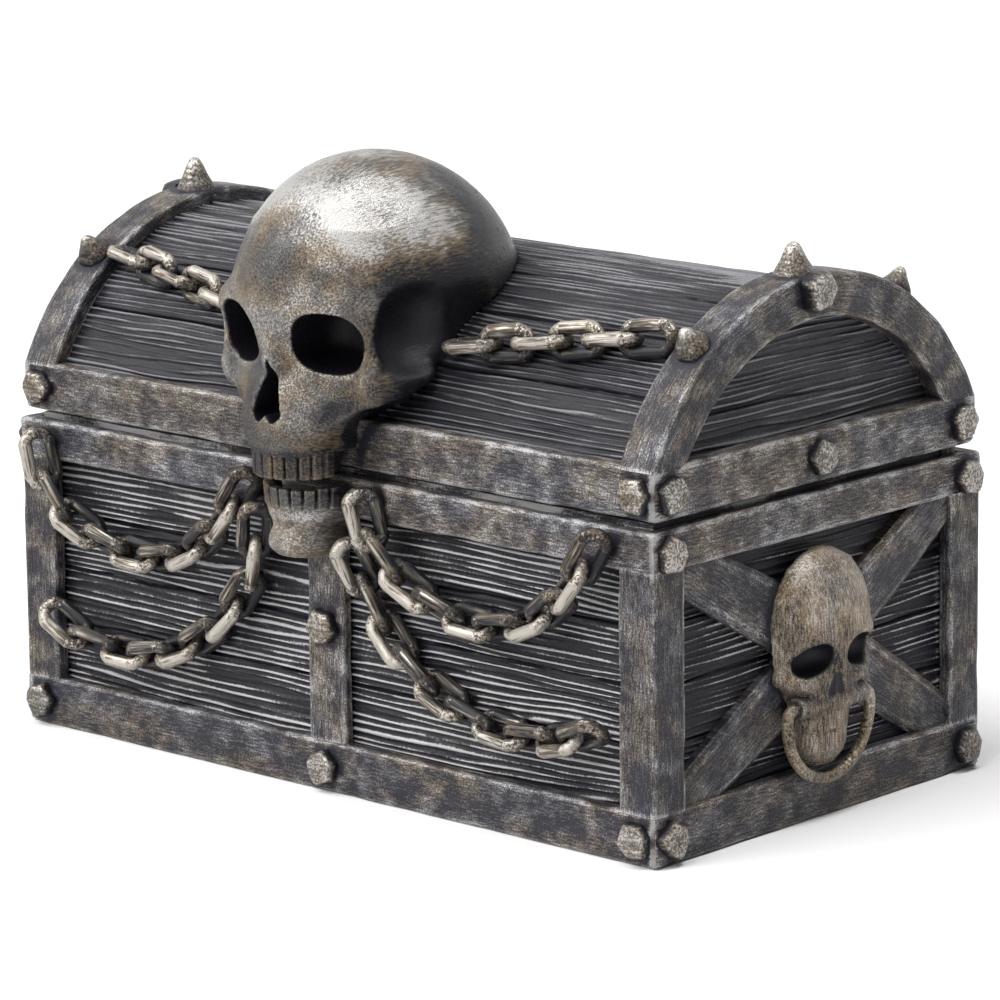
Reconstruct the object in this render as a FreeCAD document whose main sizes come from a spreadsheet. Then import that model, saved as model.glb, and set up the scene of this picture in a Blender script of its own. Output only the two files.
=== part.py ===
import FreeCAD, Part
import math
import os

import Sketcher
from FreeCAD import Matrix, Placement, Rotation, Vector

# Treasure chest box with a barrel lid. X is the width, the front faces -Y and Z is up.
# The origin is the centre of the footprint. Lengths are millimetres and angles are degrees.
SIZES = {
    # base
    "base_width": 150.0,
    "base_depth": 85.6,
    "base_height": 56.1,
    "wall": 4.0,
    "floor_thickness": 5.0,
    "lip_height": 2.5,
    "lip_thickness": 1.6,
    "lip_clearance": 0.4,
    "plank_seam_width": 0.7,
    "plank_seam_depth": 0.8,
    # straps of the base
    "strap_stand": 3.0,
    "top_band_height": 7.0,
    "bottom_band_height": 9.0,
    "post_width": 8.0,
    "centre_strap_width": 8.7,
    "centre_strap_stand": 2.4,
    "edge_round": 0.7,
    "brace_width": 9.0,
    "brace_stand": 1.6,
    "brace_bulge": 2.6,
    # lid
    "seam_gap": 1.4,
    "lid_width": 149.0,
    "lid_depth": 83.8,
    "lid_height": 35.3,
    "lid_band_height": 8.8,
    "hoop_width": 8.0,
    "hoop_stand": 2.5,
    "hoop_face_width": 7.8,
    # rivets and studs
    "rivet_across": 5.6,
    "rivet_stand": 1.9,
    "rivet_inset": 4.0,
    "lid_rivet_height": 4.3,
    "crest_stud_width": 8.4,
    "crest_stud_height": 5.2,
    "side_stud_width": 6.2,
    "side_stud_height": 4.2,
    "stud_step": 34.0,
    "stud_lean": 2.5,
    "end_stud_width": 6.0,
    "end_stud_stand": 3.2,
    "end_stud_drop": 2.6,
    # chains
    "link_length": 11.5,
    "link_width": 6.5,
    "wire": 2.1,
    "link_slack": 0.3,
    "chain_seat": 0.12,
    # large skull on the lid
    "skull_width": 41.0,
    "skull_length": 56.0,
    "cranium_height": 47.0,
    "cranium_back": 14.9,
    "cranium_up": 27.5,
    "cranium_tilt": 25.0,
    "face_reach": 15.0,
    "face_depth": 6.0,
    "tooth_width": 2.15,
    "tooth_depth": 2.6,
    "upper_tooth_height": 4.3,
    "skull_seat": 0.1,
    # lower jaw on the base
    "jaw_width": 16.6,
    "jaw_reach": 10.6,
    "jaw_height": 12.2,
    "jaw_gap": 1.1,
    "lower_tooth_height": 3.6,
    # skull masks and ring pulls on the ends
    "mask_width": 24.0,
    "mask_reach": 6.2,
    "mask_foot_gap": 0.2,
    "mask_head_gap": 2.6,
    "ring_radius": 10.8,
    "ring_wire": 2.0,
    "ring_drop": 13.3,
    "ring_axis_up": 11.3,
    "ring_bend": 1.7,
    "ring_pin": 3.0,
    "ring_clearance": 0.35,
    "ring_bore_play": 0.16,
    "ring_boss": 3.8,
    "cheek_gap": 1.3,
    # hinges on the back
    "hinge_length": 16.0,
    "hinge_inset": 30.0,
    "hinge_barrel": 4.4,
    "hinge_pin": 2.0,
    "hinge_play": 0.1,
    "leaf_stand": 1.2,
    "leaf_height": 5.0,
    "leaf_clearance": 0.3,
    "barrel_clearance": 0.2,
    "screw_head": 2.6,
    "screw_stand": 0.7,
    # every cut runs past its piece by this much
    "overrun": 1.0,
}

BASE_PLANKS = 4
LID_SEAMS = 7
UPPER_TEETH = 9
LOWER_TEETH = 8

doc = FreeCAD.newDocument("treasure_chest_box")
sheet = doc.addObject("Spreadsheet::Sheet", "Sizes")
for row, (alias, number) in enumerate(SIZES.items(), start=1):
    sheet.set("A%d" % row, alias)
    sheet.set("B%d" % row, str(number))
    sheet.setAlias("B%d" % row, alias)
doc.recompute()


class Size:
    """A length or angle: its number, and the expression that gives it from the sheet."""

    def __init__(self, text, value):
        self.text = text
        self.value = value

    def __float__(self):
        return self.value

    def __add__(self, other):
        other = as_size(other)
        return Size("(%s + %s)" % (self.text, other.text), self.value + other.value)

    def __radd__(self, other):
        return as_size(other) + self

    def __sub__(self, other):
        other = as_size(other)
        return Size("(%s - %s)" % (self.text, other.text), self.value - other.value)

    def __rsub__(self, other):
        return as_size(other) - self

    def __mul__(self, other):
        other = as_size(other)
        return Size("(%s * %s)" % (self.text, other.text), self.value * other.value)

    __rmul__ = __mul__

    def __truediv__(self, other):
        other = as_size(other)
        return Size("(%s / %s)" % (self.text, other.text), self.value / other.value)

    def __neg__(self):
        return Size("(0 - %s)" % self.text, -self.value)


class Lookup:
    """Gives a cell of the sheet as a Size, by its alias."""

    def __getattr__(self, alias):
        return Size("Sizes." + alias, float(sheet.get(alias)))


def as_size(x):
    return x if isinstance(x, Size) else Size(repr(float(x)), float(x))


def root(x):
    return Size("sqrt(%s)" % x.text, math.sqrt(x.value))


def vector(x, y, z=0.0):
    return Vector(float(x), float(y), float(z))


s = Lookup()
ZERO = as_size(0.0)
FRONT = Vector(0, -1, 0)
BACK = Vector(0, 1, 0)
RIGHT = Vector(1, 0, 0)
UP = Vector(0, 0, 1)

# Places that several pieces share
half_x = s.base_width / 2
half_y = s.base_depth / 2
panel_x = half_x - s.strap_stand
panel_y = half_y - s.strap_stand
inner_x = panel_x - s.wall
inner_y = panel_y - s.wall
rim_z = s.base_height + s.seam_gap / 2
rail_low = s.bottom_band_height
rail_high = s.base_height - s.top_band_height
lid_bottom = s.base_height + s.seam_gap
lid_half_x = s.lid_width / 2
lid_half_y = s.lid_depth / 2
lid_panel_x = lid_half_x - s.strap_stand
lid_panel_y = lid_half_y - s.strap_stand
band_top = lid_bottom + s.lid_band_height
crest_z = lid_bottom + s.lid_height
arch_rise = s.lid_height - s.lid_band_height
hoop_radius = (lid_half_y * lid_half_y + arch_rise * arch_rise) / (2 * arch_rise)
arch_z = crest_z - hoop_radius
barrel_radius = hoop_radius - s.hoop_stand
hinge_x = half_x - s.hinge_inset
hinge_y = half_y + s.hinge_barrel / 2 + s.barrel_clearance
mask_low = s.bottom_band_height + s.mask_foot_gap
mask_height = rail_high - mask_low - s.mask_head_gap


# Document helpers
def bind(thing, prop, size):
    thing.setExpression(prop, as_size(size).text)


def new_body(label):
    body = doc.addObject("PartDesign::Body", label)
    body.Label = label
    return body


def origin_part(body, role):
    return next(f for f in body.Origin.OriginFeatures if f.Role == role)


def new_sketch(body, name, plane, offset=ZERO, turn=0.0):
    sketch = body.newObject("Sketcher::SketchObject", body.Name + "_" + name)
    sketch.AttachmentSupport = (origin_part(body, plane), [""])
    sketch.MapMode = "FlatFace"
    sketch.AttachmentOffset = Placement(Vector(), Rotation(UP, turn))
    bind(sketch, "AttachmentOffset.Base.z", offset)
    return sketch


def hold(sketch, kind, geometry, point, size):
    size = as_size(size)
    rule = Sketcher.Constraint(kind, -1, 1, geometry, point, size.value)
    sketch.setExpression("Constraints[%d]" % sketch.addConstraint(rule), size.text)


def path(sketch, vertices, arcs, closed):
    """Lines and arcs through vertices: arcs[i] is None, or the radius and centre of segment i."""
    first = sketch.GeometryCount
    ends = []
    for i, arc in enumerate(arcs):
        start = vector(*vertices[i])
        end = vector(*vertices[(i + 1) % len(vertices)])
        forward = True
        curve = Part.LineSegment(start, end)
        if arc is not None:
            centre = vector(*arc[1])
            turns = [math.atan2(p.y - centre.y, p.x - centre.x) for p in (start, end)]
            forward = (turns[1] - turns[0]) % (2 * math.pi) < math.pi
            low, high = turns if forward else turns[::-1]
            whole = Part.Circle(centre, UP, float(arc[0]))
            curve = Part.ArcOfCircle(whole, low, low + (high - low) % (2 * math.pi))
        sketch.addGeometry(curve, False)
        ends.append((first + i, 1, 2) if forward else (first + i, 2, 1))
    followed = ends if closed else ends[:-1]
    for here, after in zip(followed, ends[1:] + ends[:1]):
        sketch.addConstraint(Sketcher.Constraint("Coincident", here[0], here[2], after[0], after[1]))
    for i, vertex in enumerate(vertices):
        number, point = (ends[i][0], ends[i][1]) if i < len(ends) else (ends[-1][0], ends[-1][2])
        hold(sketch, "DistanceX", number, point, vertex[0])
        hold(sketch, "DistanceY", number, point, vertex[1])
    for i, arc in enumerate(arcs):
        if arc is not None:
            hold_radius(sketch, first + i, arc[0])


def hold_radius(sketch, number, radius):
    radius = as_size(radius)
    rule = sketch.addConstraint(Sketcher.Constraint("Radius", number, radius.value))
    sketch.setExpression("Constraints[%d]" % rule, radius.text)


def outline(sketch, corners):
    path(sketch, corners, [None] * len(corners), True)


def rectangle(sketch, low_x, low_y, high_x, high_y):
    outline(sketch, [(low_x, low_y), (high_x, low_y), (high_x, high_y), (low_x, high_y)])


def centred(sketch, x, y):
    rectangle(sketch, -x, -y, x, y)


def circle(sketch, x, y, radius):
    number = sketch.addGeometry(Part.Circle(vector(x, y), UP, float(radius)), False)
    hold(sketch, "DistanceX", number, 3, x)
    hold(sketch, "DistanceY", number, 3, y)
    hold_radius(sketch, number, radius)


def arch_outline(sketch, half, low, radius):
    """Two upright sides under an arc about the sketch's origin."""
    spring = root(radius * radius - half * half)
    vertices = [(-half, low), (half, low), (half, spring), (-half, spring)]
    path(sketch, vertices, [None, None, (radius, (ZERO, ZERO)), None], True)


def pad(body, sketch, length):
    feature = body.newObject("PartDesign::Pad", sketch.Name + "_pad")
    feature.Profile = sketch
    bind(feature, "Length", length)
    return feature


def pocket(body, sketch, length):
    """Cuts against the sketch's normal, and stops the build if nothing was cut."""
    doc.recompute()
    before = body.Tip.Shape.Volume
    feature = body.newObject("PartDesign::Pocket", sketch.Name + "_pocket")
    feature.Profile = sketch
    bind(feature, "Length", length)
    doc.recompute()
    if feature.Shape.isNull() or feature.Shape.Volume >= before:
        raise RuntimeError(sketch.Name + " cuts nothing")
    return feature


def round_edges(body, radius, chosen):
    doc.recompute()
    base = body.Tip
    names = ["Edge%d" % (i + 1) for i, edge in enumerate(base.Shape.Edges) if chosen(edge)]
    feature = body.newObject("PartDesign::Fillet", body.Name + "_round")
    feature.Base = (base, names)
    bind(feature, "Radius", radius)
    return feature


def feature_of(label, shape):
    thing = doc.addObject("Part::Feature", label)
    thing.Label = label
    thing.Shape = shape
    return thing


def middle(edge):
    return edge.valueAt((edge.FirstParameter + edge.LastParameter) / 2)


def near(a, b):
    return abs(float(a) - float(b)) < float(s.overrun) * 1e-3


# Base
def make_base_shell():
    body = new_body("base_shell")
    block = new_sketch(body, "block", "XY_Plane")
    centred(block, panel_x, panel_y)
    pad(body, block, rim_z)
    cavity = new_sketch(body, "cavity", "XY_Plane", rim_z)
    centred(cavity, inner_x, inner_y)
    pocket(body, cavity, rim_z - s.floor_thickness)
    lip = new_sketch(body, "lip", "XY_Plane", rim_z)
    centred(lip, inner_x + s.lip_thickness, inner_y + s.lip_thickness)
    centred(lip, inner_x, inner_y)
    pad(body, lip, s.lip_height)
    plank = (rail_high - rail_low) / BASE_PLANKS
    for i in range(1, BASE_PLANKS):
        seam = new_sketch(body, "seam%d" % i, "XY_Plane", rail_low + plank * i + s.plank_seam_width / 2)
        centred(seam, panel_x + s.overrun, panel_y + s.overrun)
        centred(seam, panel_x - s.plank_seam_depth, panel_y - s.plank_seam_depth)
        pocket(body, seam, s.plank_seam_width)
    return body


def make_band(label, low, height, outer_x, outer_y, hole_x, hole_y):
    body = new_body(label)
    ring = new_sketch(body, "ring", "XY_Plane", low)
    centred(ring, outer_x, outer_y)
    centred(ring, hole_x, hole_y)
    pad(body, ring, height)

    def outer_edge(edge):
        at = middle(edge)
        return near(abs(at.x), outer_x) or near(abs(at.y), outer_y)

    round_edges(body, s.edge_round, outer_edge)
    return body


def make_corner_post(label, side_x, side_y):
    body = new_body(label)
    angle = new_sketch(body, "angle", "XY_Plane", rail_low)
    leg_x = half_x - s.post_width
    leg_y = half_y - s.post_width
    corners = [
        (half_x, half_y),
        (leg_x, half_y),
        (leg_x, panel_y),
        (panel_x, panel_y),
        (panel_x, leg_y),
        (half_x, leg_y),
    ]
    outline(angle, [(x * side_x, y * side_y) for x, y in corners])
    pad(body, angle, rail_high - rail_low)

    def upright_outside(edge):
        at = middle(edge)
        on_face = near(abs(at.x), half_x) or near(abs(at.y), half_y)
        return on_face and near(at.z, (rail_low + rail_high) / 2)

    round_edges(body, s.edge_round, upright_outside)
    return body


def make_centre_strap(label, side):
    body = new_body(label)
    section = new_sketch(body, "section", "XY_Plane", rail_low)
    face = (panel_y + s.centre_strap_stand) * side
    half = s.centre_strap_width / 2
    rectangle(section, -half, panel_y * side, half, face)
    pad(body, section, rail_high - rail_low)

    def upright_outside(edge):
        at = middle(edge)
        return near(at.y, face) and near(at.z, (rail_low + rail_high) / 2)

    round_edges(body, s.edge_round, upright_outside)
    return body


def bowed_strap(sketch, start, end, width, bulge):
    """A strap from start to end: one straight edge, and one that bows out by bulge."""
    run_x = end[0] - start[0]
    run_y = end[1] - start[1]
    length = root(run_x * run_x + run_y * run_y)
    out_x = run_y / length
    out_y = -(run_x / length)
    off_x = out_x * width / 2
    off_y = out_y * width / 2
    vertices = [
        (start[0] - off_x, start[1] - off_y),
        (end[0] - off_x, end[1] - off_y),
        (end[0] + off_x, end[1] + off_y),
        (start[0] + off_x, start[1] + off_y),
    ]
    radius = (length * length / 4 + bulge * bulge) / (2 * bulge)
    inset = radius - bulge - width / 2
    centre = ((start[0] + end[0]) / 2 - out_x * inset, (start[1] + end[1]) / 2 - out_y * inset)
    path(sketch, vertices, [None, None, (radius, centre), None], True)


def make_cross_brace(label):
    body = new_body(label)
    half = half_y - s.post_width
    margin = s.brace_width
    falling = new_sketch(body, "falling", "YZ_Plane", panel_x)
    bowed_strap(falling, (half, rail_low), (-half, rail_high), s.brace_width, s.brace_bulge)
    pad(body, falling, s.brace_stand)
    rising = new_sketch(body, "rising", "YZ_Plane", panel_x)
    bowed_strap(rising, (-half, rail_low), (half, rail_high), s.brace_width, s.brace_bulge)
    pad(body, rising, s.brace_stand)
    frame = new_sketch(body, "frame", "YZ_Plane", panel_x + s.brace_stand + s.overrun)
    rectangle(frame, -half - margin, rail_low - margin, half + margin, rail_high + margin)
    rectangle(frame, -half, rail_low, half, rail_high)
    pocket(body, frame, s.brace_stand + s.overrun * 2)
    return body


# Lid
def make_lid_shell():
    body = new_body("lid_shell")
    bind(body, "Placement.Base.z", arch_z)
    low = rim_z - arch_z
    barrel = new_sketch(body, "barrel", "YZ_Plane", -lid_panel_x)
    arch_outline(barrel, lid_panel_y, low, barrel_radius)
    pad(body, barrel, lid_panel_x * 2)
    hollow_x = lid_panel_x - s.wall
    hollow = new_sketch(body, "hollow", "YZ_Plane", hollow_x)
    arch_outline(hollow, lid_panel_y - s.wall, low - s.overrun, barrel_radius - s.wall)
    pocket(body, hollow, hollow_x * 2)
    rebate = new_sketch(body, "rebate", "XY_Plane", low + s.lip_height + s.lip_clearance)
    lip_room = s.lip_thickness + s.lip_clearance
    centred(rebate, inner_x + lip_room, inner_y + lip_room)
    pocket(body, rebate, s.lip_height + s.lip_clearance + s.overrun)
    spread = math.degrees(math.acos(float((band_top - arch_z) / barrel_radius)))
    step = 2 * spread / (LID_SEAMS + 1)
    seam = new_sketch(body, "seam", "YZ_Plane", lid_panel_x + s.overrun, step - spread)
    half = s.plank_seam_width / 2
    rectangle(seam, -half, barrel_radius - s.plank_seam_depth, half, barrel_radius + s.overrun)
    first = pocket(body, seam, (lid_panel_x + s.overrun) * 2)
    pattern = body.newObject("PartDesign::PolarPattern", "lid_shell_seams")
    pattern.Originals = [first]
    pattern.Axis = (origin_part(body, "X_Axis"), [""])
    pattern.Angle = 2 * (spread - step)
    pattern.Occurrences = LID_SEAMS
    body.Tip = pattern
    return body


def make_lid_hoop(label, side):
    body = new_body(label)
    bind(body, "Placement.Base.z", arch_z)
    section = new_sketch(body, "section", "XZ_Plane")
    face_radius = hoop_radius - s.hoop_face_width
    inside = lid_half_x - s.hoop_width
    corners = [
        (inside, barrel_radius),
        (lid_panel_x, barrel_radius),
        (lid_panel_x, face_radius),
        (lid_half_x, face_radius),
        (lid_half_x, hoop_radius),
        (inside, hoop_radius),
    ]
    outline(section, [(x * side, z) for x, z in corners])
    ring = body.newObject("PartDesign::Revolution", label + "_ring")
    ring.Profile = section
    ring.ReferenceAxis = (origin_part(body, "X_Axis"), [""])
    ring.Angle = 360
    legs = new_sketch(body, "legs", "XY_Plane", band_top - arch_z)
    centred(legs, lid_half_x + s.overrun, hoop_radius + s.overrun)
    pocket(body, legs, hoop_radius * 2 + s.overrun)

    def outer_edge(edge):
        at = middle(edge)
        long_arc = edge.Length > float(hoop_radius)
        return long_arc and not near(abs(at.x), lid_panel_x) and at.z > float(face_radius) - float(s.overrun)

    round_edges(body, s.edge_round, outer_edge)
    return body


# Rivets, studs and chains
RIVET_SIDES = 6
RIVET_SIDE_SHARE = 0.45


def rivet(across, stand):
    """A rough nut-like head: a six-sided block under a low dome, standing on the XY plane."""
    corner_radius = across / 2 / math.cos(math.pi / RIVET_SIDES)
    turns = [2 * math.pi * i / RIVET_SIDES for i in range(RIVET_SIDES + 1)]
    corners = [Vector(corner_radius * math.cos(turn), corner_radius * math.sin(turn), 0) for turn in turns]
    prism = Part.Face(Part.makePolygon(corners)).extrude(Vector(0, 0, stand))
    crown = stand * (1 - RIVET_SIDE_SHARE)
    dome_radius = (corner_radius * corner_radius + crown * crown) / (2 * crown)
    dome = Part.makeSphere(dome_radius, Vector(0, 0, stand - dome_radius))
    return prism.common(dome)


# Profile of a stud: radius and height
STUD_SHARES = [(1.0, 0.0), (0.94, 0.22), (0.55, 0.62), (0.30, 0.86), (0.0, 1.0)]


def stud(width, height, root_depth):
    """A blunt spike on the XY plane, with a root that a seat is cut into and its seam to the front."""
    profile = [Vector(0, 0, -root_depth), Vector(0, -width / 2, -root_depth)]
    profile += [Vector(0, -width / 2 * r, height * z) for r, z in STUD_SHARES]
    profile.append(profile[0])
    return Part.Face(Part.makePolygon(profile)).revolve(Vector(), UP, 360)


def placed(shape, at, toward):
    copy = shape.copy()
    copy.Placement = Placement(at, Rotation(UP, toward))
    return copy


def make_base_rivets():
    head = rivet(float(s.rivet_across), float(s.rivet_stand))
    corner_x = half_x - s.rivet_inset
    corner_y = half_y - s.rivet_inset
    low = s.bottom_band_height / 2
    high = s.base_height - s.rivet_inset
    strap_face = panel_y + s.centre_strap_stand
    heads = []
    for facing in (-1, 1):
        toward = Vector(0, facing, 0)
        for x in (-corner_x, ZERO, corner_x):
            heads.append(placed(head, vector(x, half_y * facing, low), toward))
        heads.append(placed(head, vector(0, strap_face * facing, (rail_low + rail_high) / 2), toward))
    for x in (-corner_x, corner_x):
        heads.append(placed(head, vector(x, half_y, high), BACK))
    for facing in (-1, 1):
        toward = Vector(facing, 0, 0)
        for y in (-corner_y, corner_y):
            heads.append(placed(head, vector(half_x * facing, y, low), toward))
            heads.append(placed(head, vector(half_x * facing, y, high), toward))
    return feature_of("base_rivets", Part.makeCompound(heads))


def make_lid_rivets():
    head = rivet(float(s.rivet_across), float(s.rivet_stand))
    z = lid_bottom + s.lid_rivet_height
    corner_x = lid_half_x - s.rivet_inset
    corner_y = lid_half_y - s.rivet_inset
    heads = []
    for facing in (-1, 1):
        for x in (-corner_x, corner_x):
            heads.append(placed(head, vector(x, lid_half_y * facing, z), Vector(0, facing, 0)))
        for y in (-corner_y, ZERO, corner_y):
            heads.append(placed(head, vector(lid_half_x * facing, y, z), Vector(facing, 0, 0)))
    return feature_of("lid_rivets", Part.makeCompound(heads))


def make_lid_studs():
    axis = vector(0, 0, arch_z)
    radius = float(hoop_radius)
    hoop_drum = Part.makeCylinder(radius, float(s.lid_width), axis - vector(lid_half_x, 0), RIGHT)
    kinds = [
        (s.stud_lean + s.stud_step, s.side_stud_width, s.side_stud_height),
        (s.stud_lean, s.crest_stud_width, s.crest_stud_height),
        (s.stud_lean - s.stud_step, s.side_stud_width, s.side_stud_height),
    ]
    pieces = []
    for side in (-1, 1):
        x = (lid_half_x - s.hoop_width / 2) * side
        for angle, width, height in kinds:
            turn = math.radians(float(angle))
            outward = Vector(0, -math.sin(turn), math.cos(turn))
            spike = stud(float(width), float(height), float(s.hoop_stand))
            spike = placed(spike, vector(x, 0) + axis + outward * radius, outward)
            pieces.append(spike.cut(hoop_drum))
        button = rivet(float(s.end_stud_width), float(s.end_stud_stand))
        turn = math.radians(float(s.stud_lean))
        outward = Vector(0, -math.sin(turn), math.cos(turn))
        seat = vector(lid_half_x * side, 0) + axis + outward * float(hoop_radius - s.end_stud_drop)
        pieces.append(placed(button, seat, Vector(side, 0, 0)))
    return feature_of("lid_studs", Part.makeCompound(pieces))


def chain_link():
    """An oval link of round wire in the XY plane, with its length along X."""
    wire = float(s.wire) / 2
    bend = float(s.link_width) / 2 - wire
    straight = float(s.link_length - s.link_width)
    pieces = []
    for side in (-1, 1):
        run = Part.makeCylinder(wire, straight, Vector(-straight / 2, side * bend, 0), RIGHT)
        section = Part.Face(Part.Wire(Part.makeCircle(wire, Vector(side * straight / 2, -bend, 0), RIGHT)))
        end = section.revolve(Vector(side * straight / 2, 0, 0), Vector(0, 0, side), 180)
        pieces += [run, end]
    return pieces[0].fuse(pieces[1:]).removeSplitter()


LINK_ROLL = 45.0
ROUTE_STEPS = 400


def chain_pitch():
    return float(s.link_length - s.wire * 2 - s.link_slack)


def lay_chain(label, route, count):
    """Links along a route: a function of length share that gives a point and the surface's normal."""
    link = chain_link()
    points = [route(i / ROUTE_STEPS) for i in range(ROUTE_STEPS + 1)]
    lengths = [0.0]
    for (a, _), (b, _) in zip(points, points[1:]):
        lengths.append(lengths[-1] + a.distanceToPoint(b))

    def at_length(target):
        i = next((k for k in range(1, ROUTE_STEPS + 1) if lengths[k] >= target), ROUTE_STEPS)
        share = (target - lengths[i - 1]) / (lengths[i] - lengths[i - 1])
        return points[i - 1][0] + (points[i][0] - points[i - 1][0]) * share, points[i][1]

    pitch = chain_pitch()
    slack = lengths[-1] - pitch * count
    links = []
    for i in range(count):
        start, _ = at_length(slack / 2 + pitch * i)
        end, _ = at_length(slack / 2 + pitch * (i + 1))
        _, normal = at_length(slack / 2 + pitch * (i + 0.5))
        along = (end - start).normalize()
        across = normal.cross(along).normalize()
        lift = along.cross(across)
        frame = Rotation(along, across, lift, "XYZ")
        copy = link.copy()
        roll = LINK_ROLL if i % 2 else -LINK_ROLL
        copy.Placement = Placement((start + end) / 2, frame.multiply(Rotation(RIGHT, roll)))
        links.append(copy)
    print("%-24s %2d links, route %.1f mm, %.2f mm to spare" % (label, count, lengths[-1], slack))
    return feature_of(label, Part.makeCompound(links))


def link_lift():
    """How far a rolled link's middle stands off the surface that it lies on."""
    bend = float(s.link_width - s.wire) / 2
    return bend * math.sin(math.radians(LINK_ROLL)) + float(s.wire) / 2 + float(s.chain_seat)


# Control points of each front chain, as shares of half the base's width and of its height
FRONT_CHAIN_SHARES = {
    "front_chain_upper_left": [(-0.905, 0.950), (-0.885, 0.600), (-0.455, 0.420), (-0.195, 0.955)],
    "front_chain_lower_left": [(-0.868, 0.400), (-0.725, 0.185), (-0.245, 0.290), (-0.168, 0.855)],
    "front_chain_upper_right": [(0.165, 0.955), (0.190, 0.600), (0.660, 0.430), (0.866, 0.965)],
    "front_chain_lower_right": [(0.118, 0.800), (0.145, 0.430), (0.540, 0.165), (0.862, 0.400)],
}
FRONT_CHAIN_LINKS = 10


def smooth_step(x):
    x = min(max(x, 0.0), 1.0)
    return x * x * (3 - 2 * x)


def bezier(controls, share):
    rest = 1 - share
    weights = (rest ** 3, 3 * rest ** 2 * share, 3 * rest * share ** 2, share ** 3)
    return [sum(w * c[axis] for w, c in zip(weights, controls)) for axis in (0, 1)]


def make_front_chain(label):
    controls = [(float(half_x) * x, float(s.base_height) * z) for x, z in FRONT_CHAIN_SHARES[label]]
    climb = float(s.link_length)
    post_edge = float(half_x - s.post_width)
    clear = float(s.link_width + s.wire)

    def route(share):
        x, z = bezier(controls, share)
        over_band = smooth_step((z + climb / 2 + clear - float(rail_high)) / climb)
        over_post = smooth_step((abs(x) + climb / 2 + clear - post_edge) / climb)
        rise = float(s.strap_stand) * max(over_band, over_post)
        return Vector(x, -float(panel_y) - link_lift() - rise, z), FRONT

    return lay_chain(label, route, FRONT_CHAIN_LINKS)


# A lid chain runs from the skull to the hoop: shares of half the lid's width, and degrees from the crest
LID_CHAIN_SHARES = (0.30, 0.87)
LID_CHAIN_TURNS = (45.5, 35.0)
LID_CHAIN_LINKS = 6


def make_lid_chain(label, side):
    radius = float(barrel_radius) + link_lift()

    def route(share):
        x = float(lid_half_x) * (LID_CHAIN_SHARES[0] + (LID_CHAIN_SHARES[1] - LID_CHAIN_SHARES[0]) * share)
        turn = math.radians(LID_CHAIN_TURNS[0] + (LID_CHAIN_TURNS[1] - LID_CHAIN_TURNS[0]) * share)
        outward = Vector(0, -math.sin(turn), math.cos(turn))
        return Vector(x * side, 0, float(arch_z)) + outward * radius, outward

    return lay_chain(label, route, LID_CHAIN_LINKS)


# Bone forms
def ellipsoid(centre, semi, rotation=Rotation()):
    """A stretched unit ball with four faces, none of which closes on itself."""
    quarter = max(Part.makeSphere(1.0, Vector(), UP, -90, 90, 90).Faces, key=lambda face: face.Area)
    shell = Part.makeShell([quarter.rotated(Vector(), UP, 90 * i) for i in range(4)])
    shell.sewShape()
    scale = Matrix()
    scale.scale(*semi)
    ball = Part.makeSolid(shell).transformGeometry(scale)
    ball.Placement = Placement(centre, rotation)
    return ball


def bone_section(half, front, back, roundness, z):
    """A flat-backed section at height z: straight sides and a front that is one arc."""
    spring = front + half * roundness
    left = Vector(-half, spring, z)
    right = Vector(half, spring, z)
    back_right = Vector(half, back, z)
    back_left = Vector(-half, back, z)
    front_arc = Part.Arc(left, Vector(0, front, z), right).toShape()
    corners = [right, back_right, back_left, left]
    sides = [Part.makeLine(a, b) for a, b in zip(corners, corners[1:])]
    return Part.Wire([front_arc] + sides)


class Bone:
    """Places on a skull that faces -Y, as shares of its half width, its reach and its height."""

    def __init__(self, width, reach, height, wall_y, floor_z):
        self.half = float(width) / 2
        self.reach = float(reach)
        self.height = float(height)
        self.wall_y = float(wall_y)
        self.floor_z = float(floor_z)

    def at(self, across, ahead, up):
        return Vector(across * self.half, self.wall_y - ahead * self.reach, self.floor_z + up * self.height)

    def span(self, across, ahead, up):
        return across * self.half, ahead * self.reach, up * self.height

    def face(self, shares, back):
        sections = []
        for up, across, ahead, roundness in shares:
            front = self.wall_y - ahead * self.reach
            z = self.floor_z + up * self.height
            sections.append(bone_section(across * self.half, front, float(back), roundness, z))
        return Part.makeLoft(sections, True, False)

    def ball(self, place_shares, size_shares, rotation=Rotation()):
        return ellipsoid(self.at(*place_shares), self.span(*size_shares), rotation)

    def cut_through(self, outline_shares, depth_shares):
        """A prism that cuts the bone from the first depth, ahead of it, back to the second."""
        start, end = depth_shares
        corners = [self.at(across, start, up) for across, up in outline_shares]
        face = Part.Face(Part.makePolygon(corners + corners[:1]))
        return face.extrude(Vector(0, (start - end) * self.reach, 0))

    def teeth(self, count, arc_shares, low, high):
        """A row of square teeth round the front arc of a jaw, from low to high."""
        size = (float(s.tooth_width), float(s.tooth_depth), high - low)
        block = Part.makeBox(*size, Vector(-size[0] / 2, -size[1] / 2, 0))
        uprights = [edge for edge in block.Edges if near(edge.Length, size[2])]
        block = block.makeFillet(size[0] * TOOTH_ROUND_SHARE, uprights)
        across, ahead, roundness = arc_shares
        row = []
        for i in range(count):
            turn = TEETH_FAN * (2 * i / (count - 1) - 1)
            angle = math.radians(turn)
            x = across * self.half * math.sin(angle)
            y = self.wall_y - ahead * self.reach + across * self.half * roundness * (1 - math.cos(angle))
            tooth = block.copy()
            tooth.Placement = Placement(Vector(x, y, low), Rotation(UP, turn * roundness))
            row.append(tooth)
        return row


def joined(shape, pieces):
    for piece in pieces:
        shape = shape.fuse(piece)
    return shape


def carved(shape, holes):
    """Cuts the holes one by one, and stops the build if one cuts nothing."""
    for hole in holes:
        left = shape.cut(hole)
        if left.Volume >= shape.Volume:
            raise RuntimeError("a hole cuts nothing")
        shape = left
    return shape


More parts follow.
